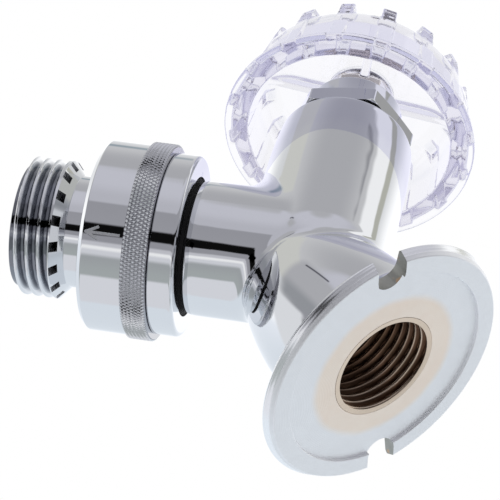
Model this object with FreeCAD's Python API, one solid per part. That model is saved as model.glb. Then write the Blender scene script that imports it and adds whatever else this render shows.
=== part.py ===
import FreeCAD, Part
import math
import os
from FreeCAD import Vector

# Anti-siphon wall faucet: an angle body with a wall flange, a compression valve with a clear wheel
# handle, and a vacuum breaker on the outlet that ends in a male hose thread.
# Millimetres and degrees. The wall is the plane Y = 0, the inlet axis is the +Y axis and +Z is up.
# Stem and outlet heights are measured along their own axes from the valve centre, where they cross.

# Axes
valve_reach = 30.85              # wall to the valve centre
valve_rise = 5.35                # inlet axis up to the valve centre
stem_lean = 45.0                 # stem axis above the horizontal
outlet_fall = 45.0               # outlet axis below the horizontal

# Clearances
turning_clearance = 0.05         # radial, between a thread, shaft or spigot and its bore
face_clearance = 0.05            # between two faces that are clamped or closed on each other
free_clearance = 0.3             # round pieces that move past each other without touching

# Wall flange
flange_radius = 25.7
flange_bevel = 1.2
flange_edge_height = 1.9
flange_front_rounding = 0.5
flange_step_radius = 21.0
flange_step_depth = 0.7
flange_root_height = 3.3
flange_root_radius = 20.0
notch_width = 6.0
notch_depth = 6.7
notch_turn = 0.5                 # turn of the two notches about the inlet axis

# Inlet bell
bell_neck_radius = 15.7
bell_neck_height = 8.5
bell_end_radius = 8.65
bell_end_height = 34.3

# Inlet pipe thread, 1/2 inch taper pipe size drawn as ring grooves
inlet_thread_radius = 9.3
inlet_thread_groove = 1.1
inlet_thread_pitch = 1.814
inlet_thread_groove_width = 1.45
inlet_thread_count = 7
inlet_mouth_radius = 10.7
inlet_mouth_depth = 0.7
inlet_passage_radius = 7.0

# Valve barrel
barrel_radius = 14.1
barrel_straight_height = 23.4
barrel_top_radius = 13.6
barrel_height = 35.7
barrel_rounding = 2.0
barrel_widening = 17.4           # height at which the barrel has its full radius
ball_radius = 13.9               # ball where barrel and arm meet
chamber_radius = 9.6
upper_bore_radius = 11.0
upper_bore_depth = 19.3

# Valve seat
seat_depth = 5.15                # valve centre down to the top of the seat
seat_rim_height = 1.2
seat_rim_width = 1.4
seat_orifice_radius = 5.6
seat_partition = 2.2

# Outlet arm with the male hose thread of the faucet itself
arm_radius = 13.05
arm_length = 21.45
arm_collar_radius = 12.7
arm_collar_length = 1.4
undercut_radius = 12.3
undercut_length = 1.0
arm_thread_radius = 13.3
arm_thread_length = 7.7
arm_thread_chamfer = 0.8
outlet_bore_radius = 6.6
elbow_blend = 5.0                # inner corner of barrel and arm
bell_blend = 5.0                 # inner corners round the bell
crease_limit = 15.0              # a blend rounds the inner corners that turn more than this
blend_reach = 20.0               # and that lie no further than this from the valve centre

# Bonnet gasket and nut
gasket_thickness = 0.9
gasket_outer_radius = 12.0
nut_face_radius = 11.5
nut_face_height = 0.5
nut_across_flats = 23.0
nut_hex_height = 3.9
nut_chamfer = 0.5
nut_turn = 22.3
nut_collar_radius = 10.5
nut_collar_top_radius = 9.8
nut_collar_height = 6.2
nut_collar_rounding = 0.6

# Bushing and packing round the stem
bushing_height = 10.0
packing_washer_thickness = 1.0
packing_ring_thickness = 2.5
packing_ring_count = 2

# Stem
stem_travel = 4.5
stem_foot_radius = 4.0
stem_foot_height = 2.0
stem_groove_radius = 3.2
stem_groove_height = 1.2
stem_neck_radius = 5.4
stem_stop_radius = 7.5
stem_stop_height = 3.0
stem_thread_radius = 6.0
stem_thread_height = 9.9
stem_shank_radius = 4.75
stem_square = 7.0
stem_square_height = 5.8
stem_tap_depth = 9.0

# Swivelling washer holder with its rubber washer and screw
seat_washer_radius = 7.6
seat_washer_thickness = 3.2
holder_wall = 1.2
holder_base_thickness = 2.4
holder_lip_depth = 2.5
holder_sleeve_wall = 2.3
washer_screw_radius = 2.0
washer_screw_head_radius = 3.6
washer_screw_head_height = 2.0

# Wheel handle
handle_nut_overlap = 1.6         # how far the rim stands above the underside of the hexagon
handle_height = 18.2
handle_rim_radius = 25.9
handle_rim_height = 1.2
handle_wall_radius = 24.2
handle_wall_top_radius = 23.0
handle_shoulder_rounding = 9.5
handle_bore_radius = 20.95
handle_bore_top_radius = 20.2
handle_bore_rounding = 6.5
handle_plate_thickness = 2.5
rib_count = 16
rib_width = 3.0
rib_foot_radius = 25.2
rib_top_radius = 22.3
rib_top_gap = 1.6
rib_root_radius = 18.0
rib_turn = 14.0
spoke_count = 4
spoke_width = 1.6
spoke_depth = 3.0
spoke_turn = 8.0
hub_radius = 7.0
hub_height = 5.9
handle_screw_radius = 2.0
handle_screw_length = 10.0
handle_screw_head_radius = 3.9
handle_screw_head_height = 1.9
handle_screw_recess = 1.5

# Inlet ring of the vacuum breaker
ring_radius = 17.6
ring_gap = 0.9                   # dark gap between the arm's collar and the ring
ring_height = 4.95
ring_rounding = 0.9
ring_spigot_radius = 16.2
ring_shelf_thickness = 2.5
hose_gasket_thickness = 2.8
hose_gasket_bore_radius = 8.5
check_orifice_radius = 4.6
set_screw_radius = 2.0
set_screw_place = 2.45           # from the ring's open face
set_screw_sink = 0.4
set_screw_slot_width = 0.8
set_screw_slot_depth = 0.9

# Breaker housing
knurl_radius = 19.1
knurl_length = 4.8
knurl_chamfer = 0.3
housing_radius = 18.5
housing_bevel = 0.9
housing_wall_thickness = 1.15

# Diaphragm
diaphragm_thickness = 1.2
diaphragm_web_thickness = 0.8
diaphragm_rim_width = 6.4

# Outlet nozzle with its vents and male hose thread
nozzle_flange_thickness = 2.7
nozzle_flange_radius = 15.9
neck_radius = 10.9
neck_length = 4.3
vent_cone_length = 2.4
vent_chamber_radius = 9.3
vent_chamber_depth = 12.3
nozzle_bore_radius = 8.0
vent_count = 16
vent_width = 2.2
vent_height = 1.7
vent_turn = 3.1
hose_crest_radius = 13.5
hose_root_radius = 12.0
hose_pitch = 2.209
hose_crest_width = 0.6
hose_crest_count = 4
nozzle_tip_radius = 12.5
nozzle_tip_length = 0.9
nozzle_tip_chamfer = 0.5

# Check poppet, seal, sleeve and spring
poppet_radius = 5.4
poppet_thickness = 1.4
poppet_seal_radius = 5.6
poppet_seal_thickness = 1.1
poppet_nose_radius = 1.5
poppet_button_radius = 2.2
poppet_button_height = 1.0
poppet_guide_radius = 1.8
poppet_guide_tip = 2.0           # how far the guide stands out of the spider
sleeve_bore_radius = 6.3
sleeve_wall = 1.1
sleeve_rim_gap = 0.8             # diaphragm to the vent seat on the sleeve
sleeve_flange_thickness = 1.0
spider_hub_wall = 1.4
spider_web_width = 1.4
spider_web_count = 3
spring_radius = 3.4
spring_wire_radius = 0.25
spring_turns = 6

# Heights along the stem axis
seat_top = -seat_depth
chamber_floor = seat_top - seat_rim_height
inlet_passage_end = chamber_floor - seat_partition
bushing_seat = barrel_height - upper_bore_depth
bushing_top = bushing_seat + face_clearance + bushing_height
packing_washer_top = bushing_top + face_clearance + packing_washer_thickness
packing_top = packing_washer_top + packing_ring_count * (face_clearance + packing_ring_thickness)
gasket_top = barrel_height + face_clearance + gasket_thickness
nut_underside = gasket_top + face_clearance
hex_underside = nut_underside + nut_face_height
hex_top = hex_underside + nut_hex_height
nut_top = hex_top + nut_collar_height
washer_bottom = seat_top + face_clearance
washer_top = washer_bottom + seat_washer_thickness
holder_floor = washer_top + holder_base_thickness
foot_bottom = holder_floor + face_clearance
foot_top = foot_bottom + stem_foot_height
groove_top = foot_top + stem_groove_height
stop_top = bushing_seat - stem_travel - face_clearance
stem_thread_top = stop_top + stem_thread_height
handle_rim = hex_underside + handle_nut_overlap
handle_top = handle_rim + handle_height
plate_underside = handle_top - handle_plate_thickness
hub_bottom = plate_underside - hub_height
screw_seat = handle_top - handle_screw_recess
stem_top = plate_underside - face_clearance
square_bottom = stem_top - stem_square_height

# Heights along the outlet axis
arm_collar_end = arm_length + arm_collar_length
ring_start = arm_collar_end + ring_gap
arm_thread_start = arm_collar_end + undercut_length
arm_end = arm_thread_start + arm_thread_length
ring_end = ring_start + ring_height
shelf_start = arm_end + hose_gasket_thickness + 2 * face_clearance
shelf_end = shelf_start + ring_shelf_thickness
housing_start = ring_end + face_clearance
knurl_end = housing_start + knurl_length
diaphragm_start = shelf_end + face_clearance
diaphragm_end = diaphragm_start + diaphragm_thickness
nozzle_start = diaphragm_end + face_clearance
nozzle_flange_end = nozzle_start + nozzle_flange_thickness
housing_wall_start = nozzle_flange_end + face_clearance
housing_end = housing_wall_start + housing_wall_thickness
neck_end = housing_end + neck_length
vent_cone_end = neck_end + vent_cone_length
vent_chamber_end = nozzle_start + vent_chamber_depth
first_crest = vent_cone_end + hose_crest_width / 2
last_crest = first_crest + (hose_crest_count - 1) * hose_pitch
nozzle_end = last_crest + hose_crest_width / 2 + nozzle_tip_length
seal_end = diaphragm_start + poppet_seal_thickness
poppet_end = seal_end + poppet_thickness
sleeve_start = diaphragm_start + diaphragm_web_thickness + sleeve_rim_gap
spider_start = vent_chamber_end - face_clearance - sleeve_flange_thickness
guide_end = spider_start + sleeve_flange_thickness + poppet_guide_tip


def direction(angle):
    """Unit vector away from the wall, raised by an angle."""
    return Vector(0, -math.cos(math.radians(angle)), math.sin(math.radians(angle)))


valve_centre = Vector(0, -valve_reach, valve_rise)
stem_way = direction(stem_lean)
outlet_way = direction(-outlet_fall)


def placed(shape, origin, way):
    """Moves a shape drawn about Z onto an axis, with its X kept along X."""
    across = way.cross(Vector(1, 0, 0))
    turn = FreeCAD.Rotation(Vector(1, 0, 0), across, way, "ZXY")
    moved = shape.copy()
    moved.Placement = FreeCAD.Placement(origin, turn).multiply(shape.Placement)
    return moved


def on_inlet(shape):
    return placed(shape, Vector(0, 0, 0), Vector(0, -1, 0))


def on_stem(shape):
    return placed(shape, valve_centre, stem_way)


def on_outlet(shape):
    return placed(shape, valve_centre, outlet_way)


def corner_arc(before, corner, after, rounding):
    """Start, middle and end of the arc that rounds a corner."""
    to_before = (before - corner).normalize()
    to_after = (after - corner).normalize()
    half = to_before.getAngle(to_after) / 2
    reach = rounding / math.tan(half)
    inward = (to_before + to_after).normalize()
    middle = corner + inward * (rounding / math.sin(half) - rounding)
    return corner + to_before * reach, middle, corner + to_after * reach


def outline_face(outline):
    """Face in the XZ plane. A point is (radius, height), or (radius, height, corner rounding)."""
    points = [Vector(point[0], 0, point[1]) for point in outline]
    corners = []
    for index, point in enumerate(points):
        if len(outline[index]) > 2:
            following = points[(index + 1) % len(points)]
            corners.append(corner_arc(points[index - 1], point, following, outline[index][2]))
        else:
            corners.append((point, None, point))
    edges = []
    for index, (start, middle, end) in enumerate(corners):
        if middle is not None:
            edges.append(Part.Arc(start, middle, end).toShape())
        following = corners[(index + 1) % len(corners)][0]
        if end.distanceToPoint(following) > 1e-6:
            edges.append(Part.LineSegment(end, following).toShape())
    return Part.Face(Part.Wire(edges))


def spun(face):
    return face.revolve(Vector(0, 0, 0), Vector(0, 0, 1), 360)


def turned(outline):
    """Solid turned about Z from an outline of radii and heights."""
    return spun(outline_face(outline))


def tube(inner, outer, bottom, top):
    return turned([(inner, bottom), (outer, bottom), (outer, top), (inner, top)])


def rod(radius, bottom, top):
    return Part.makeCylinder(radius, top - bottom, Vector(0, 0, bottom))


def bar(width, depth, bottom, top):
    """Bar of rectangular section, centred on Z."""
    return Part.makeBox(width, depth, top - bottom, Vector(-width / 2, -depth / 2, bottom))


def around(shape, count, start):
    """Copies of a shape at equal turns about Z."""
    copies = []
    for index in range(count):
        copy = shape.copy()
        copy.rotate(Vector(0, 0, 0), Vector(0, 0, 1), start + index * 360 / count)
        copies.append(copy)
    return copies


def prism(points, height, bottom):
    wire = Part.makePolygon([Vector(x, y, bottom) for x, y in points + points[:1]])
    return Part.Face(wire).extrude(Vector(0, 0, height))


# Body casting


def tangent_arc(start, end):
    """Arc that leaves its start along the axis."""
    across = end.x - start.x
    along = end.z - start.z
    radius = (across ** 2 + along ** 2) / (2 * abs(across))
    centre = start + Vector(math.copysign(radius, across), 0, 0)
    middle = centre + ((start + end) * 0.5 - centre).normalize() * radius
    return Part.Arc(start, middle, end).toShape()


def bell_face():
    """Half section of flange and bell, with the flare and the dome as arcs."""
    centre = Vector(0, 0, 0)
    back = Vector(flange_radius - flange_bevel, 0, 0)
    edge = Vector(flange_radius, 0, flange_edge_height)
    front = Vector(flange_radius - flange_front_rounding, 0, flange_edge_height + flange_front_rounding)
    root = Vector(flange_root_radius, 0, flange_root_height)
    neck = Vector(bell_neck_radius, 0, bell_neck_height)
    end = Vector(bell_end_radius, 0, bell_end_height)
    tip = Vector(0, 0, bell_end_height + bell_end_radius / 2)
    edges = [
        Part.LineSegment(centre, back).toShape(),
        Part.LineSegment(back, edge).toShape(),
        Part.LineSegment(edge, front).toShape(),
        Part.LineSegment(front, root).toShape(),
        tangent_arc(neck, root),
        tangent_arc(neck, end),
        Part.LineSegment(end, tip).toShape(),
        Part.LineSegment(tip, centre).toShape(),
    ]
    return Part.Face(Part.Wire(Part.sortEdges(edges)[0]))


def barrel_blank():
    return on_stem(turned([
        (0, 0),
        (ball_radius, 0),
        (barrel_radius, barrel_widening),
        (barrel_radius, barrel_straight_height),
        (barrel_top_radius, barrel_height, barrel_rounding),
        (0, barrel_height),
    ]))


def arm_blank():
    return on_outlet(rod(arm_radius, 0, arm_length))


def arm_thread():
    """Collar, undercut and threaded end that carries the vacuum breaker."""
    return on_outlet(turned([
        (0, arm_length - arm_collar_length),
        (arm_collar_radius, arm_length - arm_collar_length),
        (arm_collar_radius, arm_collar_end),
        (undercut_radius, arm_collar_end),
        (undercut_radius, arm_thread_start),
        (arm_thread_radius, arm_thread_start),
        (arm_thread_radius, arm_end - arm_thread_chamfer),
        (arm_thread_radius - arm_thread_chamfer, arm_end),
        (0, arm_end),
    ]))


def turn_of(edge, faces):
    """Angle between the two faces that meet at an edge, at its middle."""
    point = edge.valueAt((edge.FirstParameter + edge.LastParameter) / 2)
    normals = [face.normalAt(*face.Surface.parameter(point)) for face in faces]
    return math.degrees(normals[0].getAngle(normals[-1]))


def blended(shape, radius):
    """Rounds the inner corners near the valve centre."""
    corners = []
    for edge in shape.Edges:
        near = (edge.CenterOfMass - valve_centre).Length < blend_reach
        inside = edge.CenterOfMass.y < -bell_neck_height - bell_blend
        curved = edge.Curve.TypeId != "Part::GeomLine"
        faces = shape.ancestorsOfType(edge, Part.Face)
        if near and inside and curved and len(faces) > 1 and turn_of(edge, faces) > crease_limit:
            corners.append(edge)
    return shape.makeFillet(radius, corners)


def inlet_hollow():
    """Mouth, ring grooved thread and the passage that ends under the seat."""
    passage_end = bell_end_height + bell_end_radius
    thread_end = inlet_mouth_depth + inlet_thread_count * inlet_thread_pitch + inlet_thread_pitch / 2
    outline = [(0, 0), (flange_step_radius, 0), (flange_step_radius, flange_step_depth)]
    outline.append((inlet_mouth_radius, flange_step_depth))
    outline.append((inlet_thread_radius, inlet_mouth_depth + inlet_thread_pitch / 4))
    for index in range(inlet_thread_count):
        crest = inlet_mouth_depth + (index + 1) * inlet_thread_pitch
        outline.append((inlet_thread_radius, crest - inlet_thread_groove_width / 2))
        outline.append((inlet_thread_radius + inlet_thread_groove, crest))
        outline.append((inlet_thread_radius, crest + inlet_thread_groove_width / 2))
    outline.append((inlet_thread_radius, thread_end))
    outline.append((inlet_passage_radius, thread_end + inlet_thread_radius - inlet_passage_radius))
    outline.append((inlet_passage_radius, passage_end))
    outline.append((0, passage_end))
    hollow = on_inlet(turned(outline))
    beyond_seat = on_stem(rod(flange_radius + passage_end, inlet_passage_end, passage_end * 2))
    return hollow.cut(beyond_seat)


def valve_hollow():
    """Orifice, chamber round the raised seat rim, and the upper bore."""
    rim_radius = seat_orifice_radius + seat_rim_width
    orifice = rod(seat_orifice_radius, inlet_passage_end - seat_rim_height, seat_top)
    moat = tube(rim_radius, chamber_radius, chamber_floor, seat_top)
    chamber = rod(chamber_radius, seat_top, bushing_seat)
    upper = rod(upper_bore_radius, bushing_seat, barrel_height)
    return on_stem(orifice.fuse([moat, chamber, upper]))


def outlet_hollow():
    start = (chamber_radius + seat_orifice_radius + seat_rim_width) / 2
    return on_outlet(rod(outlet_bore_radius, start, arm_end))


def notch():
    """Slot with a round end, cut in from the flange's edge."""
    tall = flange_root_height * 3
    inner = flange_radius - notch_depth + notch_width / 2
    slot = Part.makeBox(notch_depth, notch_width, tall, Vector(inner, -notch_width / 2, -flange_root_height))
    end = Part.makeCylinder(notch_width / 2, tall, Vector(inner, 0, -flange_root_height))
    return slot.fuse(end)


def body_casting():
    ball = Part.makeSphere(ball_radius, valve_centre)
    elbow = blended(barrel_blank().fuse([ball, arm_blank()]).removeSplitter(), elbow_blend)
    bell = on_inlet(spun(bell_face()))
    outside = blended(elbow.fuse(bell).removeSplitter(), bell_blend)
    solid = outside.fuse(arm_thread())
    for hollow in (inlet_hollow(), valve_hollow(), outlet_hollow()):
        solid = solid.cut(hollow)
    for cutter in around(notch(), 2, notch_turn):
        solid = solid.cut(on_inlet(cutter))
    return solid


# Bonnet, bushing and packing


def bonnet_gasket():
    bore = upper_bore_radius + turning_clearance
    return on_stem(tube(bore, gasket_outer_radius, barrel_height + face_clearance, gasket_top))


def bonnet_nut():
    spigot_radius = upper_bore_radius - turning_clearance
    shaft_bore = stem_shank_radius + turning_clearance
    spigot_bottom = packing_top + face_clearance
    corner = nut_across_flats / 2 / math.cos(math.radians(30))
    points = []
    for index in range(6):
        angle = math.radians(nut_turn + index * 60)
        points.append((corner * math.cos(angle), corner * math.sin(angle)))
    hexagon = prism(points, nut_hex_height, hex_underside)
    chamfered = turned([
        (0, hex_underside),
        (corner - nut_chamfer, hex_underside),
        (corner, hex_underside + nut_chamfer / 2),
        (corner, hex_top - nut_chamfer),
        (nut_across_flats / 2 - nut_chamfer, hex_top),
        (0, hex_top),
    ])
    rest = turned([
        (0, spigot_bottom),
        (spigot_radius, spigot_bottom),
        (spigot_radius, nut_underside),
        (nut_face_radius, nut_underside),
        (nut_face_radius, hex_underside),
        (nut_collar_radius, hex_underside),
        (nut_collar_radius, hex_top),
        (nut_collar_top_radius, nut_top, nut_collar_rounding),
        (0, nut_top),
    ])
    nut = rest.fuse(hexagon.common(chamfered))
    return on_stem(nut.cut(rod(shaft_bore, spigot_bottom, nut_top)))


def stem_bushing():
    bore = stem_thread_radius + turning_clearance
    outer = upper_bore_radius - turning_clearance
    return on_stem(tube(bore, outer, bushing_seat + face_clearance, bushing_top))


def packing_washer():
    bore = stem_shank_radius + turning_clearance
    outer = upper_bore_radius - turning_clearance
    return on_stem(tube(bore, outer, bushing_top + face_clearance, packing_washer_top))


def packing_rings():
    bore = stem_shank_radius + turning_clearance
    outer = upper_bore_radius - turning_clearance
    rings = []
    for index in range(packing_ring_count):
        bottom = packing_washer_top + face_clearance + index * (packing_ring_thickness + face_clearance)
        rings.append(on_stem(tube(bore, outer, bottom, bottom + packing_ring_thickness)))
    return Part.makeCompound(rings)


# Stem and seat washer


def stem():
    """Foot that swivels in the washer holder, stop collar, thread, shank and square end."""
    blank = turned([
        (0, foot_bottom),
        (stem_foot_radius, foot_bottom),
        (stem_foot_radius, foot_top),
        (stem_groove_radius, foot_top),
        (stem_groove_radius, groove_top),
        (stem_neck_radius, groove_top),
        (stem_neck_radius, stop_top - stem_stop_height),
        (stem_stop_radius, stop_top - stem_stop_height),
        (stem_stop_radius, stop_top),
        (stem_thread_radius, stop_top),
        (stem_thread_radius, stem_thread_top),
        (stem_shank_radius, stem_thread_top),
        (stem_shank_radius, square_bottom),
        (0, square_bottom),
    ])
    square = bar(stem_square, stem_square, square_bottom, stem_top)
    end = square.common(rod(stem_shank_radius, square_bottom, stem_top))
    tap = rod(handle_screw_radius + turning_clearance, stem_top - stem_tap_depth, stem_top)
    return on_stem(blank.fuse(end).cut(tap))


def washer_holder():
    cup = seat_washer_radius + turning_clearance
    tap = washer_screw_radius + turning_clearance
    socket = stem_foot_radius + turning_clearance
    lip = stem_groove_radius + turning_clearance
    sleeve = socket + holder_sleeve_wall
    lip_bottom = foot_top + face_clearance
    lip_top = groove_top - face_clearance
    return on_stem(turned([
        (cup, washer_top - holder_lip_depth),
        (cup + holder_wall, washer_top - holder_lip_depth),
        (cup + holder_wall, washer_top + holder_base_thickness / 2),
        (sleeve, holder_floor),
        (sleeve, lip_top),
        (lip, lip_top),
        (lip, lip_bottom),
        (socket, lip_bottom),
        (socket, holder_floor),
        (tap, holder_floor),
        (tap, washer_top),
        (cup, washer_top),
    ]))


def seat_washer():
    bore = washer_screw_radius + turning_clearance
    return on_stem(tube(bore, seat_washer_radius, washer_bottom, washer_top))


def washer_screw():
    head = rod(washer_screw_head_radius, washer_bottom - washer_screw_head_height, washer_bottom)
    shank = rod(washer_screw_radius, washer_bottom, holder_floor - face_clearance)
    slot = bar(washer_screw_head_radius * 2, set_screw_slot_width,
               washer_bottom - washer_screw_head_height,
               washer_bottom - washer_screw_head_height / 2)
    return on_stem(head.fuse(shank).cut(slot))


# Handle


def grip_rib():
    """One rib: a plate with a slanted back that runs from the rim up over the shoulder."""
    foot = handle_rim + handle_rim_height / 2
    top = handle_top - rib_top_gap
    points = [
        Vector(rib_root_radius, -rib_width / 2, plate_underside),
        Vector(handle_bore_radius + handle_rim_height, -rib_width / 2, foot),
        Vector(rib_foot_radius, -rib_width / 2, foot),
        Vector(rib_top_radius, -rib_width / 2, top),
        Vector(rib_root_radius, -rib_width / 2, top),
    ]
    face = Part.Face(Part.makePolygon(points + points[:1]))
    return face.extrude(Vector(0, rib_width, 0))


def handle():
    """Open cup with a rim, grip ribs, and a hub that is carried by spokes under its plate."""
    square_clearance = turning_clearance * 2
    outside = turned([
        (0, handle_rim),
        (handle_rim_radius, handle_rim),
        (handle_rim_radius, handle_rim + handle_rim_height),
        (handle_wall_radius, handle_rim + handle_rim_height),
        (handle_wall_top_radius, handle_top, handle_shoulder_rounding),
        (0, handle_top),
    ])
    hollow = turned([
        (0, handle_rim),
        (handle_bore_radius, handle_rim),
        (handle_bore_top_radius, plate_underside, handle_bore_rounding),
        (0, plate_underside),
    ])
    hub = rod(hub_radius, hub_bottom, plate_underside)
    spoke_length = handle_bore_top_radius + (handle_wall_top_radius - handle_bore_top_radius) / 2
    spoke = Part.makeBox(spoke_length, spoke_width, spoke_depth + handle_plate_thickness / 2,
                         Vector(0, -spoke_width / 2, plate_underside - spoke_depth))
    spokes = [turned_spoke.common(outside) for turned_spoke in around(spoke, spoke_count, spoke_turn)]
    cup = outside.fuse(around(grip_rib(), rib_count, rib_turn)).cut(hollow)
    cup = cup.fuse([hub] + spokes)
    square = bar(stem_square + square_clearance, stem_square + square_clearance, hub_bottom, plate_underside)
    socket = square.common(rod(stem_shank_radius + turning_clearance, hub_bottom, plate_underside))
    hole = rod(handle_screw_radius + turning_clearance, plate_underside, handle_top)
    recess = rod(handle_screw_head_radius + free_clearance, screw_seat, handle_top)
    return on_stem(cup.cut(socket).cut(hole).cut(recess).removeSplitter())


def handle_screw():
    head = turned([
        (0, screw_seat + face_clearance),
        (handle_screw_head_radius, screw_seat + face_clearance),
        (handle_screw_head_radius, screw_seat + handle_screw_head_height / 2),
        (handle_screw_head_radius / 2, screw_seat + handle_screw_head_height),
        (0, screw_seat + handle_screw_head_height),
    ])
    shank = rod(handle_screw_radius, screw_seat + face_clearance - handle_screw_length,
                screw_seat + face_clearance)
    arm = handle_screw_head_radius
    top = screw_seat + handle_screw_head_height
    cross = bar(arm, set_screw_slot_width, top - set_screw_slot_depth, top)
    cross = cross.fuse(bar(set_screw_slot_width, arm, top - set_screw_slot_depth, top))
    return on_stem(head.fuse(shank).cut(cross))


# Vacuum breaker


def set_screw_axis(shape):
    """Turns a shape drawn along Z so that it points from the outlet axis towards -X."""
    moved = shape.copy()
    moved.rotate(Vector(0, 0, 0), Vector(0, 1, 0), -90)
    moved.translate(Vector(0, 0, ring_start + set_screw_place))
    return moved


def breaker_inlet():
    bore = arm_thread_radius + turning_clearance
    ring = turned([
        (bore, ring_start),
        (ring_radius, ring_start, ring_rounding),
        (ring_radius, ring_end),
        (ring_spigot_radius, ring_end),
        (ring_spigot_radius, shelf_end),
        (check_orifice_radius, shelf_end),
        (check_orifice_radius, shelf_start),
        (bore, shelf_start),
    ])
    return on_outlet(ring.cut(set_screw_axis(rod(set_screw_radius + turning_clearance, 0, ring_radius))))


def breaker_set_screw():
    head = ring_radius - set_screw_sink
    screw = rod(set_screw_radius, arm_thread_radius + face_clearance, head)
    slot = bar(set_screw_radius * 2, set_screw_slot_width, head - set_screw_slot_depth, head)
    return on_outlet(set_screw_axis(screw.cut(slot)))


def hose_gasket():
    outer = arm_thread_radius - turning_clearance
    return on_outlet(tube(hose_gasket_bore_radius, outer, arm_end + face_clearance, shelf_start - face_clearance))


def breaker_housing():
    bore = ring_spigot_radius + turning_clearance
    return on_outlet(turned([
        (bore, housing_start),
        (knurl_radius - knurl_chamfer, housing_start),
        (knurl_radius, housing_start + knurl_chamfer),
        (knurl_radius, knurl_end - knurl_chamfer),
        (knurl_radius - knurl_chamfer, knurl_end),
        (housing_radius, knurl_end),
        (housing_radius, housing_end - housing_bevel),
        (housing_radius - housing_bevel, housing_end),
        (neck_radius + turning_clearance, housing_end),
        (neck_radius + turning_clearance, housing_wall_start),
        (bore, housing_wall_start),
    ]))


def vent_diaphragm():
    bore = poppet_seal_radius + free_clearance
    outer = nozzle_flange_radius
    return on_outlet(turned([
        (bore, diaphragm_start),
        (outer, diaphragm_start),
        (outer, diaphragm_end),
        (outer - diaphragm_rim_width, diaphragm_end),
        (outer - diaphragm_rim_width, diaphragm_start + diaphragm_web_thickness),
        (bore, diaphragm_start + diaphragm_web_thickness),
    ]))


def thread_outline():
    """Outer side of the male hose thread, drawn as rings, from the vents to the tip."""
    flank = (hose_pitch - hose_crest_width) / 2
    points = [(hose_crest_radius, vent_cone_end)]
    for index in range(hose_crest_count):
        crest = first_crest + index * hose_pitch
        if index > 0:
            points.append((hose_root_radius, crest - hose_crest_width / 2 - flank))
            points.append((hose_crest_radius, crest - hose_crest_width / 2))
        points.append((hose_crest_radius, crest + hose_crest_width / 2))
    points.append((nozzle_tip_radius, last_crest + hose_crest_width / 2 + nozzle_tip_length / 2))
    points.append((nozzle_tip_radius - nozzle_tip_chamfer, nozzle_end))
    return points


def outlet_nozzle():
    outline = [
        (vent_chamber_radius, nozzle_start),
        (nozzle_flange_radius, nozzle_start),
        (nozzle_flange_radius, nozzle_flange_end),
        (neck_radius, nozzle_flange_end),
        (neck_radius, neck_end),
    ]
    outline += thread_outline()
    outline += [
        (nozzle_bore_radius, nozzle_end),
        (nozzle_bore_radius, vent_chamber_end),
        (vent_chamber_radius, vent_chamber_end),
    ]
    vent_bottom = vent_cone_end - vent_height
    vent = Part.makeBox(hose_crest_radius, vent_width, vent_height,
                        Vector(vent_chamber_radius - vent_height, -vent_width / 2, vent_bottom))
    nozzle = turned(outline)
    for cutter in around(vent, vent_count, vent_turn):
        nozzle = nozzle.cut(cutter)
    return on_outlet(nozzle)


def flow_sleeve():
    """Sleeve with the vent seat at its top and a spider that guides the check poppet."""
    outer = sleeve_bore_radius + sleeve_wall
    flange = vent_chamber_radius - turning_clearance
    bottom = vent_chamber_end - face_clearance
    sleeve = turned([
        (sleeve_bore_radius, sleeve_start),
        (outer, sleeve_start),
        (outer, spider_start),
        (flange, spider_start),
        (flange, bottom),
        (sleeve_bore_radius, bottom),
    ])
    hub = rod(poppet_guide_radius + turning_clearance + spider_hub_wall, spider_start, bottom)
    web = Part.makeBox(sleeve_bore_radius + sleeve_wall / 2, spider_web_width, bottom - spider_start,
                       Vector(0, -spider_web_width / 2, spider_start))
    sleeve = sleeve.fuse([hub] + around(web, spider_web_count, 0))
    return on_outlet(sleeve.cut(rod(poppet_guide_radius + turning_clearance, spider_start, bottom)))


def check_poppet():
    """Disc with a guide stem below it and a buttoned nose that holds the seal."""
    return on_outlet(turned([
        (0, diaphragm_start - poppet_button_height),
        (poppet_button_radius, diaphragm_start - poppet_button_height),
        (poppet_button_radius, diaphragm_start - face_clearance),
        (poppet_nose_radius, diaphragm_start - face_clearance),
        (poppet_nose_radius, seal_end + face_clearance),
        (poppet_radius, seal_end + face_clearance),
        (poppet_radius, poppet_end),
        (poppet_guide_radius, poppet_end),
        (poppet_guide_radius, guide_end),
        (0, guide_end),
    ]))


def poppet_seal():
    return on_outlet(tube(poppet_nose_radius + turning_clearance, poppet_seal_radius, diaphragm_start, seal_end))


def helix_point(turn, bottom, pitch):
    angle = 2 * math.pi * turn
    return Vector(spring_radius * math.cos(angle), spring_radius * math.sin(angle), bottom + pitch * turn)


def poppet_spring():
    """One round wire wound from the disc to the spider, as quarter turn arcs."""
    bottom = poppet_end + spring_wire_radius + face_clearance
    top = spider_start - spring_wire_radius - face_clearance
    pitch = (top - bottom) / spring_turns
    edges = []
    for quarter in range(spring_turns * 4):
        start = helix_point(quarter / 4, bottom, pitch)
        middle = helix_point(quarter / 4 + 0.125, bottom, pitch)
        end = helix_point(quarter / 4 + 0.25, bottom, pitch)
        edges.append(Part.Arc(start, middle, end).toShape())
    first = helix_point(0, bottom, pitch)
    heading = Vector(0, spring_radius * 2 * math.pi, pitch)
    section = Part.Wire(Part.makeCircle(spring_wire_radius, first, heading))
    wire = Part.Wire(edges)
    print("spring: gap between turns", round(pitch - 2 * spring_wire_radius, 2))
    return on_outlet(wire.makePipeShell([section], True, False))


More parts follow.
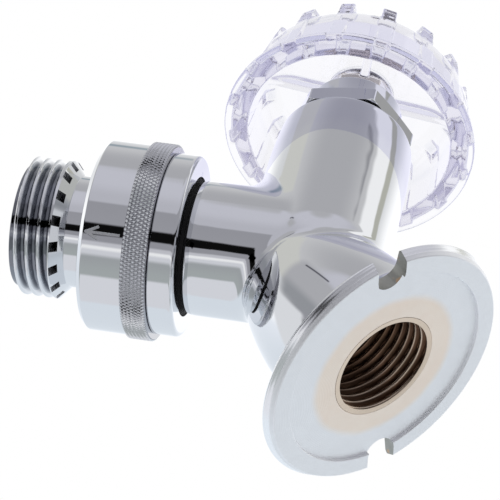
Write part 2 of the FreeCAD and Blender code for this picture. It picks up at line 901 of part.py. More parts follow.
pieces = {
    "body_casting": body_casting,
    "bonnet_gasket": bonnet_gasket,
    "bonnet_nut": bonnet_nut,
    "stem_bushing": stem_bushing,
    "packing_washer": packing_washer,
    "packing_rings": packing_rings,
    "stem": stem,
    "washer_holder": washer_holder,
    "seat_washer": seat_washer,
    "washer_screw": washer_screw,
    "handle": handle,
    "handle_screw": handle_screw,
    "breaker_inlet": breaker_inlet,
    "breaker_set_screw": breaker_set_screw,
    "hose_gasket": hose_gasket,
    "breaker_housing": breaker_housing,
    "vent_diaphragm": vent_diaphragm,
    "outlet_nozzle": outlet_nozzle,
    "flow_sleeve": flow_sleeve,
    "check_poppet": check_poppet,
    "poppet_seal": poppet_seal,
    "poppet_spring": poppet_spring,
}

os.makedirs("parts", exist_ok=True)
for name, build in pieces.items():
    shape = build()
    if not shape.isValid():
        raise ValueError(name + " is not a valid solid")
    shape.exportStep("parts/" + name + ".step")
    print(name, "solids", len(shape.Solids), "volume", round(shape.Volume, 1))
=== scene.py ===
# %% [markdown]
# # Anti-siphon wall faucet
# A garden tap that screws on a pipe in the wall. Its body is one chrome plated casting: a round wall
# flange, a short bell, a valve barrel that leans up and an outlet arm that leans down. A clear plastic
# wheel turns the valve, and a vacuum breaker with a knurled ring sits on the outlet.
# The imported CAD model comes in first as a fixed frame. Every piece below is built around it.

# %% Load the frame
import math
import bmesh
import bpy
import numpy as np
from mathutils import Matrix, Vector


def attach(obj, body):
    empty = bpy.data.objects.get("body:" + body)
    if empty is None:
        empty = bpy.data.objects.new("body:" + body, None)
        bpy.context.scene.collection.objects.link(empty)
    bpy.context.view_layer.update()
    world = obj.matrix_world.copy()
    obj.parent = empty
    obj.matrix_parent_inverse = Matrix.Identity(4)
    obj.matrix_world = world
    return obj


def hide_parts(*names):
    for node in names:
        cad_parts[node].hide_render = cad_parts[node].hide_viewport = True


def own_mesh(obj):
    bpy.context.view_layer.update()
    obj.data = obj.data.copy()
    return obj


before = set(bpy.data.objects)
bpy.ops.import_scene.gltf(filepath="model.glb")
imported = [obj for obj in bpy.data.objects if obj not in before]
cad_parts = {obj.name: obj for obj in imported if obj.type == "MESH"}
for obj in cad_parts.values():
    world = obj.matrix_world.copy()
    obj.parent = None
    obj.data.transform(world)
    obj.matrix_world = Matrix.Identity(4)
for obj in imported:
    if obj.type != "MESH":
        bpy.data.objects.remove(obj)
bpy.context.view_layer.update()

# %% [markdown]
# ## The three axes
# The tap has three axes: the inlet along Y, and the stem and the outlet, which cross 45 degrees above and
# below the horizontal. Every round piece is drawn about its own axis first, with a radius and a height in
# millimetres as on a workshop drawing, and is then laid on that axis in metres. This is easier to read and
# to check than points in space.

# %% Axes
MM = 0.001
SLANT = math.sqrt(0.5)
VALVE_CENTRE = np.array([0.0, -30.85, 5.35])
INLET = (np.zeros(3), np.array([0.0, -1.0, 0.0]))
STEM = (VALVE_CENTRE, np.array([0.0, -SLANT, SLANT]))
OUTLET = (VALVE_CENTRE, np.array([0.0, -SLANT, -SLANT]))


def lay_on(axis, points):
    """Points drawn about Z, in millimetres, laid on an axis, in metres. Their X stays along X."""
    origin, way = axis
    across = np.cross(way, [1.0, 0.0, 0.0])
    turned = points[:, :1] * np.array([1.0, 0.0, 0.0]) + points[:, 1:2] * across + points[:, 2:] * way
    return (origin + turned) * MM


print("valve centre", VALVE_CENTRE, "stem way", STEM[1], "outlet way", OUTLET[1])

# %% [markdown]
# ## Camera
# The photograph looks up at the tap from below and behind the wall, with a long lens, and the tap lies on
# its side in the picture. The camera's place and turn were fitted to the circles of the flange, handle and
# outlet, so its place and two of its directions are written out in full, and the third follows from them.

# %% Camera
camera_place = Vector((0.267597, 0.214173, -0.169657))
camera_right = Vector((-0.00184, 0.549183, 0.8357)).normalized()
camera_back = Vector((0.659856, 0.628606, -0.411638)).normalized()
camera_up = camera_back.cross(camera_right).normalized()
camera_right = camera_up.cross(camera_back)
SENSOR_WIDTH, PHOTO_WIDTH, FOCAL_PIXELS = 36.0, 500, 2108.42
camera_data = bpy.data.cameras.new("camera")
camera_data.sensor_width = SENSOR_WIDTH
camera_data.lens = SENSOR_WIDTH * FOCAL_PIXELS / PHOTO_WIDTH
camera_data.clip_start = 0.01
camera = bpy.data.objects.new("camera", camera_data)
camera.matrix_world = Matrix.Translation(camera_place) @ Matrix(
    (camera_right, camera_up, camera_back)).transposed().to_4x4()
bpy.context.scene.collection.objects.link(camera)
bpy.context.scene.camera = camera
bpy.context.scene.view_settings.view_transform = "Standard"
print("lens", round(camera_data.lens, 1), "mm at", tuple(round(v, 4) for v in camera_place))

# %% [markdown]
# ## Node helpers
# Materials and the studio are made of shader nodes. A few short helpers keep their wiring readable: one
# makes a node and links its inputs, and the others name what they compute.


# %% Node helpers
def node(tree, kind, inputs=None, **settings):
    """A shader node. Inputs are values, or sockets to link."""
    made = tree.nodes.new(kind)
    for name, value in settings.items():
        setattr(made, name, value)
    for name, value in (inputs or {}).items():
        if isinstance(value, bpy.types.NodeSocket):
            tree.links.new(value, made.inputs[name])
        else:
            made.inputs[name].default_value = value
    return made


def maths(tree, operation, first, second=0.0, third=0.0):
    return node(tree, "ShaderNodeMath", {0: first, 1: second, 2: third}, operation=operation).outputs[0]


def along(tree, vector, way):
    """Share of a vector along a fixed way."""
    dot = node(tree, "ShaderNodeVectorMath", {0: vector, 1: tuple(way)}, operation="DOT_PRODUCT")
    return dot.outputs["Value"]


def step_up(tree, value, low, high):
    """0 below low, 1 above high, smooth between. Low may be the larger one, which turns it round."""
    ramp = node(tree, "ShaderNodeMapRange", {"Value": value, "From Min": low, "From Max": high},
                interpolation_type="SMOOTHSTEP")
    return ramp.outputs["Result"]


def mixed(tree, share, first, second):
    """Colour between two colours."""
    made = node(tree, "ShaderNodeMix", data_type="RGBA")
    for socket, value in ((made.inputs[0], share), (made.inputs[6], first), (made.inputs[7], second)):
        if isinstance(value, bpy.types.NodeSocket):
            tree.links.new(value, socket)
        else:
            socket.default_value = value
    return made.outputs[2]


def grey(value):
    return (value, value, value, 1.0)


print("node helpers ready")

# %% [markdown]
# ## Studio
# Polished chrome shows nothing but the room around it, so the room is part of its look. The photograph was
# lit in a bright tent: a pale table, a grey ceiling and one dark slot where the camera looks in. Real cards
# could stand in for them, but they would get into the other views. So the world paints the tent by
# direction, and only mirrored and bent light sees it.

# %% Directions in the studio
# The tent stays where it was in the photograph, whatever view is rendered.
studio_right, studio_up, studio_front = camera_right, camera_up, camera_back
world = bpy.data.worlds.new("studio")
bpy.context.scene.world = world
world.use_nodes = True
tent = world.node_tree
tent.nodes.clear()
view = node(tent, "ShaderNodeTexCoord").outputs["Generated"]
lean_up = (studio_up + 0.15 * studio_right).normalized()
height = along(tent, view, lean_up)
level = maths(tent, "SUBTRACT", 1.0, maths(tent, "MULTIPLY", height, height))
level = maths(tent, "SQRT", maths(tent, "MAXIMUM", level, 0.01))
ahead = maths(tent, "DIVIDE", along(tent, view, studio_front), level)
print("studio leans by", round(math.degrees(studio_up.angle(lean_up)), 1), "degrees")

# %% [markdown]
# ## Shelves and cards
# Cylinders squeeze the whole room into stripes, so the stripes in the photograph tell the tone at each
# height. The tent is built like that: shelves of tone from the floor to the ceiling, one set for the front
# and one for the back, and over them a few small cards for single lights that the photograph shows.


# %% Shelves and cards
def shelves(tree, height, lowest, steps):
    """Tones by height: the lowest one, then each next one above its own angle in degrees."""
    tone = lowest
    for angle, soft, shade in steps:
        edges = [math.sin(math.radians(angle + side * soft)) for side in (-1, 1)]
        tone = mixed(tree, step_up(tree, height, *edges), tone, shade)
    return tone


def card(tree, view, tone, centre, tilt, size, shade, soft):
    """Lays a rectangle of a tone over the tent. Centre is degrees right and up of the front, size its half
    width and half height as slopes, and tilt turns it in its own plane."""
    right, up = (math.radians(value) for value in centre)
    aim = (studio_front * math.cos(right) + studio_right * math.sin(right)) * math.cos(up)
    aim += studio_up * math.sin(up)
    flat = studio_right * math.cos(right) - studio_front * math.sin(right)
    rise = aim.cross(flat)
    turn = math.radians(tilt)
    wide = flat * math.cos(turn) + rise * math.sin(turn)
    tall = rise * math.cos(turn) - flat * math.sin(turn)
    towards = along(tree, view, aim)
    depth = maths(tree, "MAXIMUM", towards, 0.001)
    share = step_up(tree, towards, 0.0, 0.05)
    for way, half in ((wide, size[0]), (tall, size[1])):
        offset = maths(tree, "ABSOLUTE", maths(tree, "DIVIDE", along(tree, view, way), depth))
        share = maths(tree, "MULTIPLY", share, step_up(tree, offset, half + soft, half - soft))
    return mixed(tree, share, tone, shade)


back_tone = shelves(tent, height, (0.80, 0.86, 0.92, 1), [
    (-15, 15, (0.98, 1.02, 1.08, 1)),
    (-3, 5, grey(1.25)),
    (18, 10, (0.78, 0.79, 0.80, 1)),
    (38, 14, (0.63, 0.63, 0.64, 1)),
    (62, 14, (0.48, 0.48, 0.50, 1))])
front_tone = shelves(tent, height, (0.78, 0.79, 0.83, 1), [
    (-50, 2, (0.43, 0.46, 0.46, 1)),
    (-37, 9, (0.40, 0.42, 0.43, 1)),
    (-25, 3, (0.72, 0.73, 0.77, 1)),
    (-18, 2, grey(1.0)),
    (-14, 1.5, (0.62, 0.62, 0.66, 1)),
    (-9, 1.5, (0.34, 0.34, 0.37, 1)),
    (-1, 1, grey(0.005)),
    (12, 1.5, (0.37, 0.37, 0.40, 1)),
    (22, 12, (0.36, 0.36, 0.39, 1)),
    (37, 1.5, (0.55, 0.55, 0.60, 1)),
    (55, 10, (0.63, 0.63, 0.69, 1)),
    (79, 5, (0.50, 0.50, 0.52, 1))])
tone = mixed(tent, step_up(tent, ahead, -0.35, 0.05), back_tone, front_tone)
cards = [
    ((-128, 47), 0, (0.42, 0.17), (0.68, 0.68, 0.64, 1), 0.03),
    ((-88, 50), 0, (0.28, 0.26), (0.49, 0.49, 0.51, 1), 0.06),
    ((-88, 33), 0, (0.25, 0.12), (0.35, 0.36, 0.38, 1), 0.09),
    ((-96, 5), 0, (0.22, 0.36), (0.84, 0.85, 0.87, 1), 0.04),
    ((-172, 41), 10, (0.14, 0.06), (0.34, 0.40, 0.44, 1), 0.05),
    ((-42, 12), -22, (0.36, 0.085), grey(0.0), 0.02),
    ((-97, 63), 25, (0.14, 0.014), (0.10, 0.10, 0.12, 1), 0.012),
    ((112, 50), 70, (0.10, 0.018), (0.34, 0.34, 0.36, 1), 0.02),
    ((117, 29), 57, (0.42, 0.16), grey(1.05), 0.03),
    ((124, 21), 57, (0.26, 0.065), (0.52, 0.52, 0.46, 1), 0.02)]
for centre, tilt, size, shade, soft in cards:
    tone = card(tent, view, tone, centre, tilt, size, shade, soft)
print("tent has", len(cards), "cards over its shelves")

# %% [markdown]
# ## Who sees the tent
# Mirrored light sees the tent as it is. Light that was bent by the clear wheel sees it through a pale haze,
# because a real wheel gathers light from all round and never shows the dark slot as sharply as chrome does.
# The camera sees plain white, and the light that falls on the object from all sides is nearly white.

# %% Who sees the tent
light_path = node(tent, "ShaderNodeLightPath")
lit_haze = mixed(tent, 0.85, tone, (0.96, 0.96, 0.98, 1))
# A ray that has crossed the plastic's skin an odd number of times is inside the plastic.
crossings = maths(tent, "MODULO", light_path.outputs["Transmission Depth"], 2.0)
inside = maths(tent, "GREATER_THAN", crossings, 0.5)
bent = light_path.outputs["Is Transmission Ray"]
tone = mixed(tent, maths(tent, "MAXIMUM", bent, inside), tone, lit_haze)
mirrored = maths(tent, "MAXIMUM", light_path.outputs["Is Glossy Ray"], bent)
seen = mixed(tent, mirrored, grey(0.92), tone)
seen = mixed(tent, light_path.outputs["Is Camera Ray"], seen, grey(1.0))
background = node(tent, "ShaderNodeBackground", {"Color": seen, "Strength": 1.0})
node(tent, "ShaderNodeOutputWorld", {"Surface": background.outputs[0]})
print("tent nodes", len(tent.nodes))

# %% [markdown]
# ## Floor and lamp
# The tap hangs on a wall and touches no floor. A pale floor far below it catches a soft shadow in the
# other views. One large lamp above gives that shadow. Mirrored light doesn't see either of them.

# %% Floor and lamp
floor_height = -0.24
bpy.ops.mesh.primitive_plane_add(size=6.0, location=(0, 0, floor_height))
floor = bpy.context.object
floor.name = "studio_floor"
floor_paint = bpy.data.materials.new("floor_paint")
floor_paint.use_nodes = True
floor_shader = floor_paint.node_tree.nodes["Principled BSDF"]
floor_shader.inputs["Base Color"].default_value = grey(0.93)
floor_shader.inputs["Roughness"].default_value = 0.9
floor.data.materials.append(floor_paint)
floor.visible_glossy = False
floor.visible_transmission = False
lamp_data = bpy.data.lights.new("ceiling_lamp", "AREA")
lamp_data.shape = "DISK"
lamp_data.size = 0.5
lamp_data.energy = 3.0
lamp = bpy.data.objects.new("ceiling_lamp", lamp_data)
lamp.location = (0.25, -0.35, 0.75)
lamp.rotation_euler = (Vector(lamp.location) * -1).to_track_quat("-Z", "Y").to_euler()
lamp.visible_glossy = False
lamp.visible_transmission = False
bpy.context.scene.collection.objects.link(lamp)
print("floor at", floor_height, "m, lamp", lamp_data.energy, "W")

# %% [markdown]
# ## Material helpers
# One flat value looks like a computer picture. Each finish below drifts a little in roughness, as on a part
# that has been handled, and has a very low bump. The helpers take the noise's grain, its detail and its
# range, so that each finish is a few readable lines.


# %% Material helpers
def new_material(name, settings):
    """A material with its even values set on the shader's own sockets, and its object coordinates."""
    made = bpy.data.materials.new(name)
    made.use_nodes = True
    tree = made.node_tree
    shader = tree.nodes["Principled BSDF"]
    for socket, value in settings.items():
        shader.inputs[socket].default_value = value
    return made, tree, shader, node(tree, "ShaderNodeTexCoord").outputs["Object"]


def noise(tree, place, grain, detail=2.0):
    """Noise between 0 and 1 in the object's own space. Grain counts its grains per metre."""
    made = node(tree, "ShaderNodeTexNoise", {"Vector": place, "Scale": grain, "Detail": detail})
    return made.outputs[0]


def about(tree, place, axis):
    """Radius and height of a place, from an axis in millimetres. Both come out in metres."""
    offset = node(tree, "ShaderNodeVectorMath", {0: place, 1: tuple(axis[0] * MM)}, operation="SUBTRACT")
    offset = offset.outputs[0]
    height = along(tree, offset, axis[1])
    squared = node(tree, "ShaderNodeVectorMath", {0: offset, 1: offset}, operation="DOT_PRODUCT")
    across = maths(tree, "SUBTRACT", squared.outputs["Value"], maths(tree, "MULTIPLY", height, height))
    return maths(tree, "SQRT", across), height


def tinted(tree, shader, share, first, second):
    tree.links.new(mixed(tree, share, first, second), shader.inputs["Base Color"])


def ranged(tree, value, low, high):
    made = node(tree, "ShaderNodeMapRange", {"Value": value, "To Min": low, "To Max": high})
    return made.outputs["Result"]


def roughened(tree, shader, value, low, high):
    tree.links.new(ranged(tree, value, low, high), shader.inputs["Roughness"])


def bumped(tree, shader, height, depth):
    """Bump of a depth in metres."""
    bump = node(tree, "ShaderNodeBump", {"Height": height, "Distance": depth, "Strength": 1.0})
    tree.links.new(bump.outputs[0], shader.inputs["Normal"])


def simple_finish(name, settings, rough, bump, tints=None):
    """A finish from noise alone. Rough is (grain, detail, low, high), bump is (grain, detail, depth), and
    tints is (grain, detail, first colour, second colour)."""
    made, tree, shader, place = new_material(name, settings)
    if tints:
        tinted(tree, shader, noise(tree, place, *tints[:2]), *tints[2:])
    roughened(tree, shader, noise(tree, place, *rough[:2]), *rough[2:])
    bumped(tree, shader, noise(tree, place, *bump[:2]), bump[2])
    return made


METAL = {"Metallic": 1.0}
print("material helpers ready")

# %% [markdown]
# ## Chrome
# Chrome plate is a thin bright metal with a cool tint. It covers metal that was made in different ways, and
# it hides none of them: the casting keeps the slow waves of hand polishing, the rings keep fine lathe lines,
# and what a cutter opens afterwards is duller. The valleys of the knurl and of the hose thread are painted
# darker, as painted shade.

# %% Chrome
chrome_tint = (0.78, 0.79, 0.81, 1)
plated = {**METAL, "Base Color": chrome_tint}
chrome = simple_finish("chrome_plate", plated, (90, 3, 0.02, 0.05), (160, 2, 0.00002))
cast_chrome = simple_finish("cast_chrome", plated, (90, 3, 0.02, 0.05), (105, 1, 0.00009))
satin = simple_finish("satin_chrome", plated, (300, 3, 0.36, 0.50), (2500, 2, 0.00002))

turned_chrome, tree, shader, place = new_material("turned_chrome", METAL)
radius, height = about(tree, place, OUTLET)
on_thread = step_up(tree, height, 0.0489, 0.0492)
# Painted shade: the hose thread's valleys are tinted dark grey.
painted_valley_shade = maths(tree, "MULTIPLY", step_up(tree, radius, 0.0132, 0.0121), on_thread)
tinted(tree, shader, painted_valley_shade, chrome_tint, (0.24, 0.25, 0.28, 1))
roughened(tree, shader, noise(tree, place, 90, 3), 0.02, 0.05)
lathe = node(tree, "ShaderNodeTexNoise", {"W": height, "Scale": 5000.0, "Detail": 2.0}, noise_dimensions="1D")
bumped(tree, shader, lathe.outputs[0], 0.000002)

knurled_chrome, tree, shader, place = new_material("knurled_chrome", METAL)
radius, height = about(tree, place, OUTLET)
# Painted shade: the knurl's grooves, below the diamonds' tips, are tinted darker.
tinted(tree, shader, step_up(tree, radius, 0.01894, 0.01876), chrome_tint, (0.40, 0.40, 0.43, 1))
roughened(tree, shader, noise(tree, place, 400, 3), 0.06, 0.14)
bumped(tree, shader, noise(tree, place, 2500), 0.00001)
print("chrome finishes", chrome.name, cast_chrome.name, satin.name, turned_chrome.name, knurled_chrome.name)

# %% [markdown]
# ## Painted shade and bare metal
# The narrow gap between the arm and the breaker's ring is painted near black, as painted shade for the deep,
# narrow gap. The notches were milled through the plating, and their walls show dull metal with a little
# copper in it.

# %% Painted gap shade and bare finishes
# Near-black finish for the gap between arm and ring: painted shade.
gap_shadow = simple_finish(
    "painted_gap_shade", {"Specular IOR Level": 0.2}, (900, 2, 0.6, 0.8), (3000, 2, 0.00002),
    (600, 3, (0.004, 0.004, 0.005, 1), (0.02, 0.02, 0.022, 1)))
cut_metal, tree, shader, place = new_material("milled_metal", METAL)
copper = step_up(tree, noise(tree, place, 420, 2), 0.60, 0.70)
tinted(tree, shader, copper, (0.44, 0.44, 0.41, 1), (0.66, 0.48, 0.33, 1))
roughened(tree, shader, noise(tree, place, 800, 3), 0.35, 0.6)
bumped(tree, shader, noise(tree, place, 2500), 0.00004)


def radius_height(spot, axis):
    """Radius and height of a spot in metres, from an axis, in millimetres."""
    offset = spot / MM - axis[0]
    height = offset @ axis[1]
    return np.linalg.norm(offset - height * axis[1]), height


def dress(target, finish, chosen):
    """Gives a second finish to the faces whose middle, in metres, is chosen."""
    target.data.materials.append(finish)
    for face in target.data.polygons:
        if chosen(np.array(face.center)):
            face.material_index = len(target.data.materials) - 1


print("bare finishes", gap_shadow.name, cut_metal.name)

# %% [markdown]
# ## Outlines and turned pieces
# Most of the tap was turned on a lathe, so most pieces are an outline spun about an axis. Blender's Screw
# modifier could spin it too. Rings of points made in code are chosen here, because a ring can also carry a
# thread, a knurl or the flats of a hexagon. Each corner of an outline gets a small arc, since a real edge
# always has one and it catches a thin line of light.


# %% Outlines
def rounded(outline, closed=True, steps=5, guard=0.04):
    """Dense outline from points (radius, height) or (radius, height, rounding). A guard point next to each
    arc keeps the flats beside it flat under smooth shading."""
    points = []
    count = len(outline)
    for index, entry in enumerate(outline):
        corner = np.array(entry[:2], float)
        size = entry[2] if len(entry) > 2 else 0.0
        if size == 0.0 or (not closed and index in (0, count - 1)):
            points.append(corner)
            continue
        before = np.array(outline[index - 1][:2], float) - corner
        after = np.array(outline[(index + 1) % count][:2], float) - corner
        room = (np.linalg.norm(before), np.linalg.norm(after))
        before, after = before / room[0], after / room[1]
        half = math.acos(np.clip(before @ after, -1, 1)) / 2
        reach = min(size / math.tan(half), room[0] * 0.49, room[1] * 0.49)
        size = reach * math.tan(half)
        middle = corner + (before + after) / np.linalg.norm(before + after) * (size / math.sin(half))
        start, end = corner + before * reach - middle, corner + after * reach - middle
        if reach + guard < room[0] * 0.5:
            points.append(corner + before * (reach + guard))
        swing = math.pi - 2 * half
        for part in np.linspace(0, 1, steps + 1):
            first = math.sin((1 - part) * swing) / math.sin(swing)
            second = math.sin(part * swing) / math.sin(swing)
            points.append(middle + start * first + end * second)
        if reach + guard < room[1] * 0.5:
            points.append(corner + after * (reach + guard))
    return np.array(points)


def ring_grid(radii, heights, count):
    """Points of rings, drawn about Z. Radii and heights have one row per ring, and may vary round it."""
    turn = np.arange(count) * 2 * math.pi / count
    radii = np.broadcast_to(np.asarray(radii, float).reshape(len(radii), -1), (len(radii), count))
    heights = np.broadcast_to(np.asarray(heights, float).reshape(len(heights), -1), (len(heights), count))
    return np.stack([radii * np.cos(turn), radii * np.sin(turn), heights], -1).reshape(-1, 3)


def ring_faces(rings, count, closed=True):
    """Four-cornered faces between neighbouring rings, and from the last ring to the first if closed."""
    last = rings if closed else rings - 1
    row, column = np.meshgrid(np.arange(last), np.arange(count), indexing="ij")
    nxt, side = (row + 1) % rings, (column + 1) % count
    return np.stack([row * count + column, row * count + side, nxt * count + side, nxt * count + column],
                    -1).reshape(-1, 4)


print("a square corner of 1 mm becomes", len(rounded([(0, 0), (9, 0, 1.0), (9, 9)], False)), "points")


# %% Pieces
def piece(name, points, faces, material, body, nodes, sharp=35.0):
    """A mesh piece that rides on a CAD body and stands for CAD nodes. Faces that meet at more than the
    sharp angle keep a crisp edge."""
    mesh = bpy.data.meshes.new(name)
    mesh.from_pydata(points.tolist(), [], faces if isinstance(faces, list) else faces.tolist())
    work = bmesh.new()
    work.from_mesh(mesh)
    bmesh.ops.remove_doubles(work, verts=work.verts, dist=1e-7)
    bmesh.ops.recalc_face_normals(work, faces=work.faces)
    work.to_mesh(mesh)
    work.free()
    mesh.shade_smooth()
    mesh.set_sharp_from_angle(angle=math.radians(sharp))
    made = bpy.data.objects.new(name, mesh)
    bpy.context.scene.collection.objects.link(made)
    mesh.materials.append(material)
    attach(made, body)
    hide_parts(*nodes)
    print(name, "faces", len(mesh.polygons))
    return made


RING_POINTS, THREAD_POINTS, NUT_POINTS = 288, 240, 360


def ringed(name, radii, heights, axis, count, material, body, nodes, sharp=35.0):
    """A piece made of rings about an axis, with a row of radii and a height for each ring."""
    points = lay_on(axis, ring_grid(radii, heights, count))
    return piece(name, points, ring_faces(len(heights), count), material, body, nodes, sharp)


def turned(name, outline, axis, material, body, nodes, slot):
    """A piece spun from an outline that closes on itself, like a ring."""
    shape = rounded(outline)
    return ringed(name, shape[:, 0], shape[:, 1], axis, RING_POINTS, material, body, nodes)


print("points in a circle:", RING_POINTS, "on rings,", THREAD_POINTS, "on threads,", NUT_POINTS, "on the nut")

# %% [markdown]
# ## Shapes from distances
# Where the barrel, the arm and the bell meet, the casting has rounded inner corners that no lathe makes.
# Blender's booleans with a bevel would leave a seam there, and sculpting by hand wouldn't stay true to the
# drawing. A distance function is used instead: it says how far a point is from a shape's surface, and in
# which direction. Two of them join with a corner as if a ball had rolled along it. The surface is where the
# distance is zero.


# %% Distances
def pick(choice, first, second):
    """First where the choice holds and second elsewhere, for distances and their directions."""
    return np.where(choice, first[0], second[0]), np.where(choice[:, None], first[1], second[1])


def rolled(first, second, ball):
    """Joins two shapes. The inner corner is rounded by a ball of a radius that touches both."""
    a, b = ball - first[0], ball - second[0]
    c = np.clip((first[1] * second[1]).sum(-1), -0.999, 0.999)
    reach = ((a - c * b)[:, None] * first[1] + (b - c * a)[:, None] * second[1]) / (1 - c * c)[:, None]
    length = np.maximum(np.linalg.norm(reach, axis=-1), 1e-9)
    corner = (a > c * b) & (b > c * a) & (a > 0) & (b > 0)
    return pick(corner, (ball - length, reach / length[:, None]), pick(first[0] < second[0], first, second))


def skin_of(shape, low, high, step):
    """Points and faces of the surface inside a box: one point in each cell that the surface crosses."""
    ticks = [np.arange(low[k], high[k] + step, step) for k in range(3)]
    grid = np.stack(np.meshgrid(*ticks, indexing="ij"), -1)
    value = shape(grid.reshape(-1, 3))[0].reshape(grid.shape[:3])
    cells = tuple(size - 1 for size in value.shape)
    total, hits = np.zeros(cells + (3,)), np.zeros(cells)
    crossings = []
    for k in range(3):
        near = [slice(None)] * 3
        far = [slice(None)] * 3
        near[k], far[k] = slice(0, -1), slice(1, None)
        a, b = value[tuple(near)], value[tuple(far)]
        cross = (a < 0) != (b < 0)
        spot = grid[tuple(near)].copy()
        spot[..., k] += np.where(cross, a / np.where(cross, a - b, 1), 0) * step
        spot[~cross] = 0
        p, q = (axis for axis in range(3) if axis != k)
        for dp in (0, 1):
            for dq in (0, 1):
                cut = [slice(None)] * 3
                cut[p], cut[q] = slice(dp, dp + cells[p]), slice(dq, dq + cells[q])
                total += spot[tuple(cut)]
                hits += cross[tuple(cut)]
        crossings.append((p, q, cross))
    used = hits > 0
    number = np.full(cells, -1)
    number[used] = np.arange(used.sum())
    points = total[used] / hits[used][:, None]
    faces = []
    for p, q, cross in crossings:
        where = np.argwhere(cross)
        row, column = where[:, p], where[:, q]
        where = where[(row > 0) & (row < cells[p]) & (column > 0) & (column < cells[q])]
        corners = []
        for dp, dq in ((1, 1), (0, 1), (0, 0), (1, 0)):
            cell = where.copy()
            cell[:, p] -= dp
            cell[:, q] -= dq
            corners.append(number[cell[:, 0], cell[:, 1], cell[:, 2]])
        faces.append(np.stack(corners, -1))
    for _ in range(4):
        distance, way = shape(points)
        points = points - way * distance[:, None]
    return points, np.concatenate(faces)


ground = np.array([1.0]), np.array([[0.0, 0.0, 1.0]])
side_wall = np.array([1.0]), np.array([[1.0, 0.0, 0.0]])
in_corner = float(rolled(ground, side_wall, 5.0)[0][0])
print("1 mm from two square walls, with a 5 mm ball in their corner:", round(in_corner, 2), "mm")

# %% [markdown]
# ## Cast body
# The body is three plain shapes: the bell behind the flange, the valve barrel and the outlet arm. Balls of a
# few millimetres round the corners between them. The skin is cut square where the lathe work begins, and
# rings of points go on from each cut: up to the barrel's rim, out to the arm's collar and into the inlet.

# %% Cast body
ELBOW_BALL, BELL_BALL = 6.5, 3.5
BELL_ARC, BELL_SINK, BELL_FOOT = 51.13, 35.03, 8.5
BARREL_RADIUS, BARREL_SWELL, SWELL_LENGTH, ARM_RADIUS = 13.9, 0.2, 17.4, 13.05
BELL_CUT, BARREL_CUT, ARM_CUT = 9.0, 23.0, 18.0


def ease(value):
    value = np.clip(value, 0, 1)
    return value * value * (3 - 2 * value)


def polar(axis, points):
    """Radius and height from an axis, and the direction straight away from it."""
    origin, way = axis
    offset = points - origin
    height = offset @ way
    away = offset - height[:, None] * way
    radius = np.maximum(np.linalg.norm(away, axis=-1), 1e-9)
    return radius, height, away / radius[:, None]


def bell(points):
    """A dome, 16.1 mm in radius at its foot. Its outline is part of a large circle."""
    radius, height, away = polar(INLET, points)
    far = np.hypot(radius + BELL_SINK, height - BELL_FOOT)
    way = ((radius + BELL_SINK) / far)[:, None] * away + ((height - BELL_FOOT) / far)[:, None] * INLET[1]
    return far - BELL_ARC, way


def limb(axis, size):
    """A round limb that starts at the valve centre with a ball of its own radius."""
    def shape(points):
        radius, height, away = polar(axis, points)
        offset = points - VALVE_CENTRE
        far = np.maximum(np.linalg.norm(offset, axis=-1), 1e-9)
        return pick(height > 0, (radius - size(height), away), (far - size(0 * far), offset / far[:, None]))
    return shape


barrel = limb(STEM, lambda height: BARREL_RADIUS + BARREL_SWELL * ease(height / SWELL_LENGTH))
arm = limb(OUTLET, lambda height: ARM_RADIUS + 0 * height)


def body(points):
    return rolled(bell(points), rolled(barrel(points), arm(points), ELBOW_BALL), BELL_BALL)


skin_points, skin_faces = skin_of(body, (-17.2, -60.0, -20.0), (17.2, -8.2, 34.0), 0.42)
print("skin points", len(skin_points), "faces", len(skin_faces))


# %% Cut the skin and go on with rings
def cut_skin(points, faces, cuts):
    """Keeps what lies on the near side of each cut, given as an axis and a height on it."""
    mesh = bpy.data.meshes.new("skin")
    mesh.from_pydata(points.tolist(), [], faces.tolist())
    work = bmesh.new()
    work.from_mesh(mesh)
    bpy.data.meshes.remove(mesh)
    for (origin, way), height, outer in cuts:
        spot = origin + way * height
        bmesh.ops.bisect_plane(work, geom=work.verts[:] + work.edges[:] + work.faces[:], dist=1e-4,
                               plane_co=spot, plane_no=way, clear_outer=outer, clear_inner=not outer)
    work.verts.index_update()
    kept = np.array([vert.co for vert in work.verts])
    shapes = [[vert.index for vert in face.verts] for face in work.faces]
    rims = []
    for (origin, way), height, outer in cuts:
        rims.append([vert.index for vert in work.verts
                     if vert.is_boundary and abs((np.array(vert.co) - origin) @ way - height) < 1e-3])
    work.free()
    return kept, shapes, rims


def extend(points, shapes, rim, axis, outline):
    """Goes on from a cut rim with rings along an outline, and closes the last ring."""
    origin, way = axis
    across = np.cross(way, [1.0, 0.0, 0.0])
    offset = points[rim] - origin
    turn = np.arctan2(offset @ across, offset[:, 0])
    order = np.argsort(turn)
    rim, turn = np.array(rim)[order], turn[order]
    circle = np.cos(turn)[:, None] * np.array([1.0, 0.0, 0.0]) + np.sin(turn)[:, None] * across
    points[rim] = origin + circle * outline[0][0] + way * outline[0][1]
    previous, count = rim, len(rim)
    for radius, height in outline[1:]:
        ring = len(points) + np.arange(count)
        points = np.concatenate([points, origin + circle * radius + way * height])
        shapes += np.stack([previous, np.roll(previous, -1), np.roll(ring, -1), ring], -1).tolist()
        previous = ring
    shapes.append(previous.tolist())
    return points, shapes


cuts = [(INLET, BELL_CUT, False), (STEM, BARREL_CUT, True), (OUTLET, ARM_CUT, True)]
points, shapes, rims = cut_skin(skin_points, skin_faces, cuts)
print("points kept", len(points), "in the rims", [len(rim) for rim in rims])


# %% Turned ends of the casting
def arc(centre, size, start, end, count):
    """Points of an arc, or of part of an ellipse, from one angle to another in degrees."""
    return [(centre[0] + size[0] * math.cos(a), centre[1] + size[1] * math.sin(a))
            for a in np.radians(np.linspace(start, end, count))]


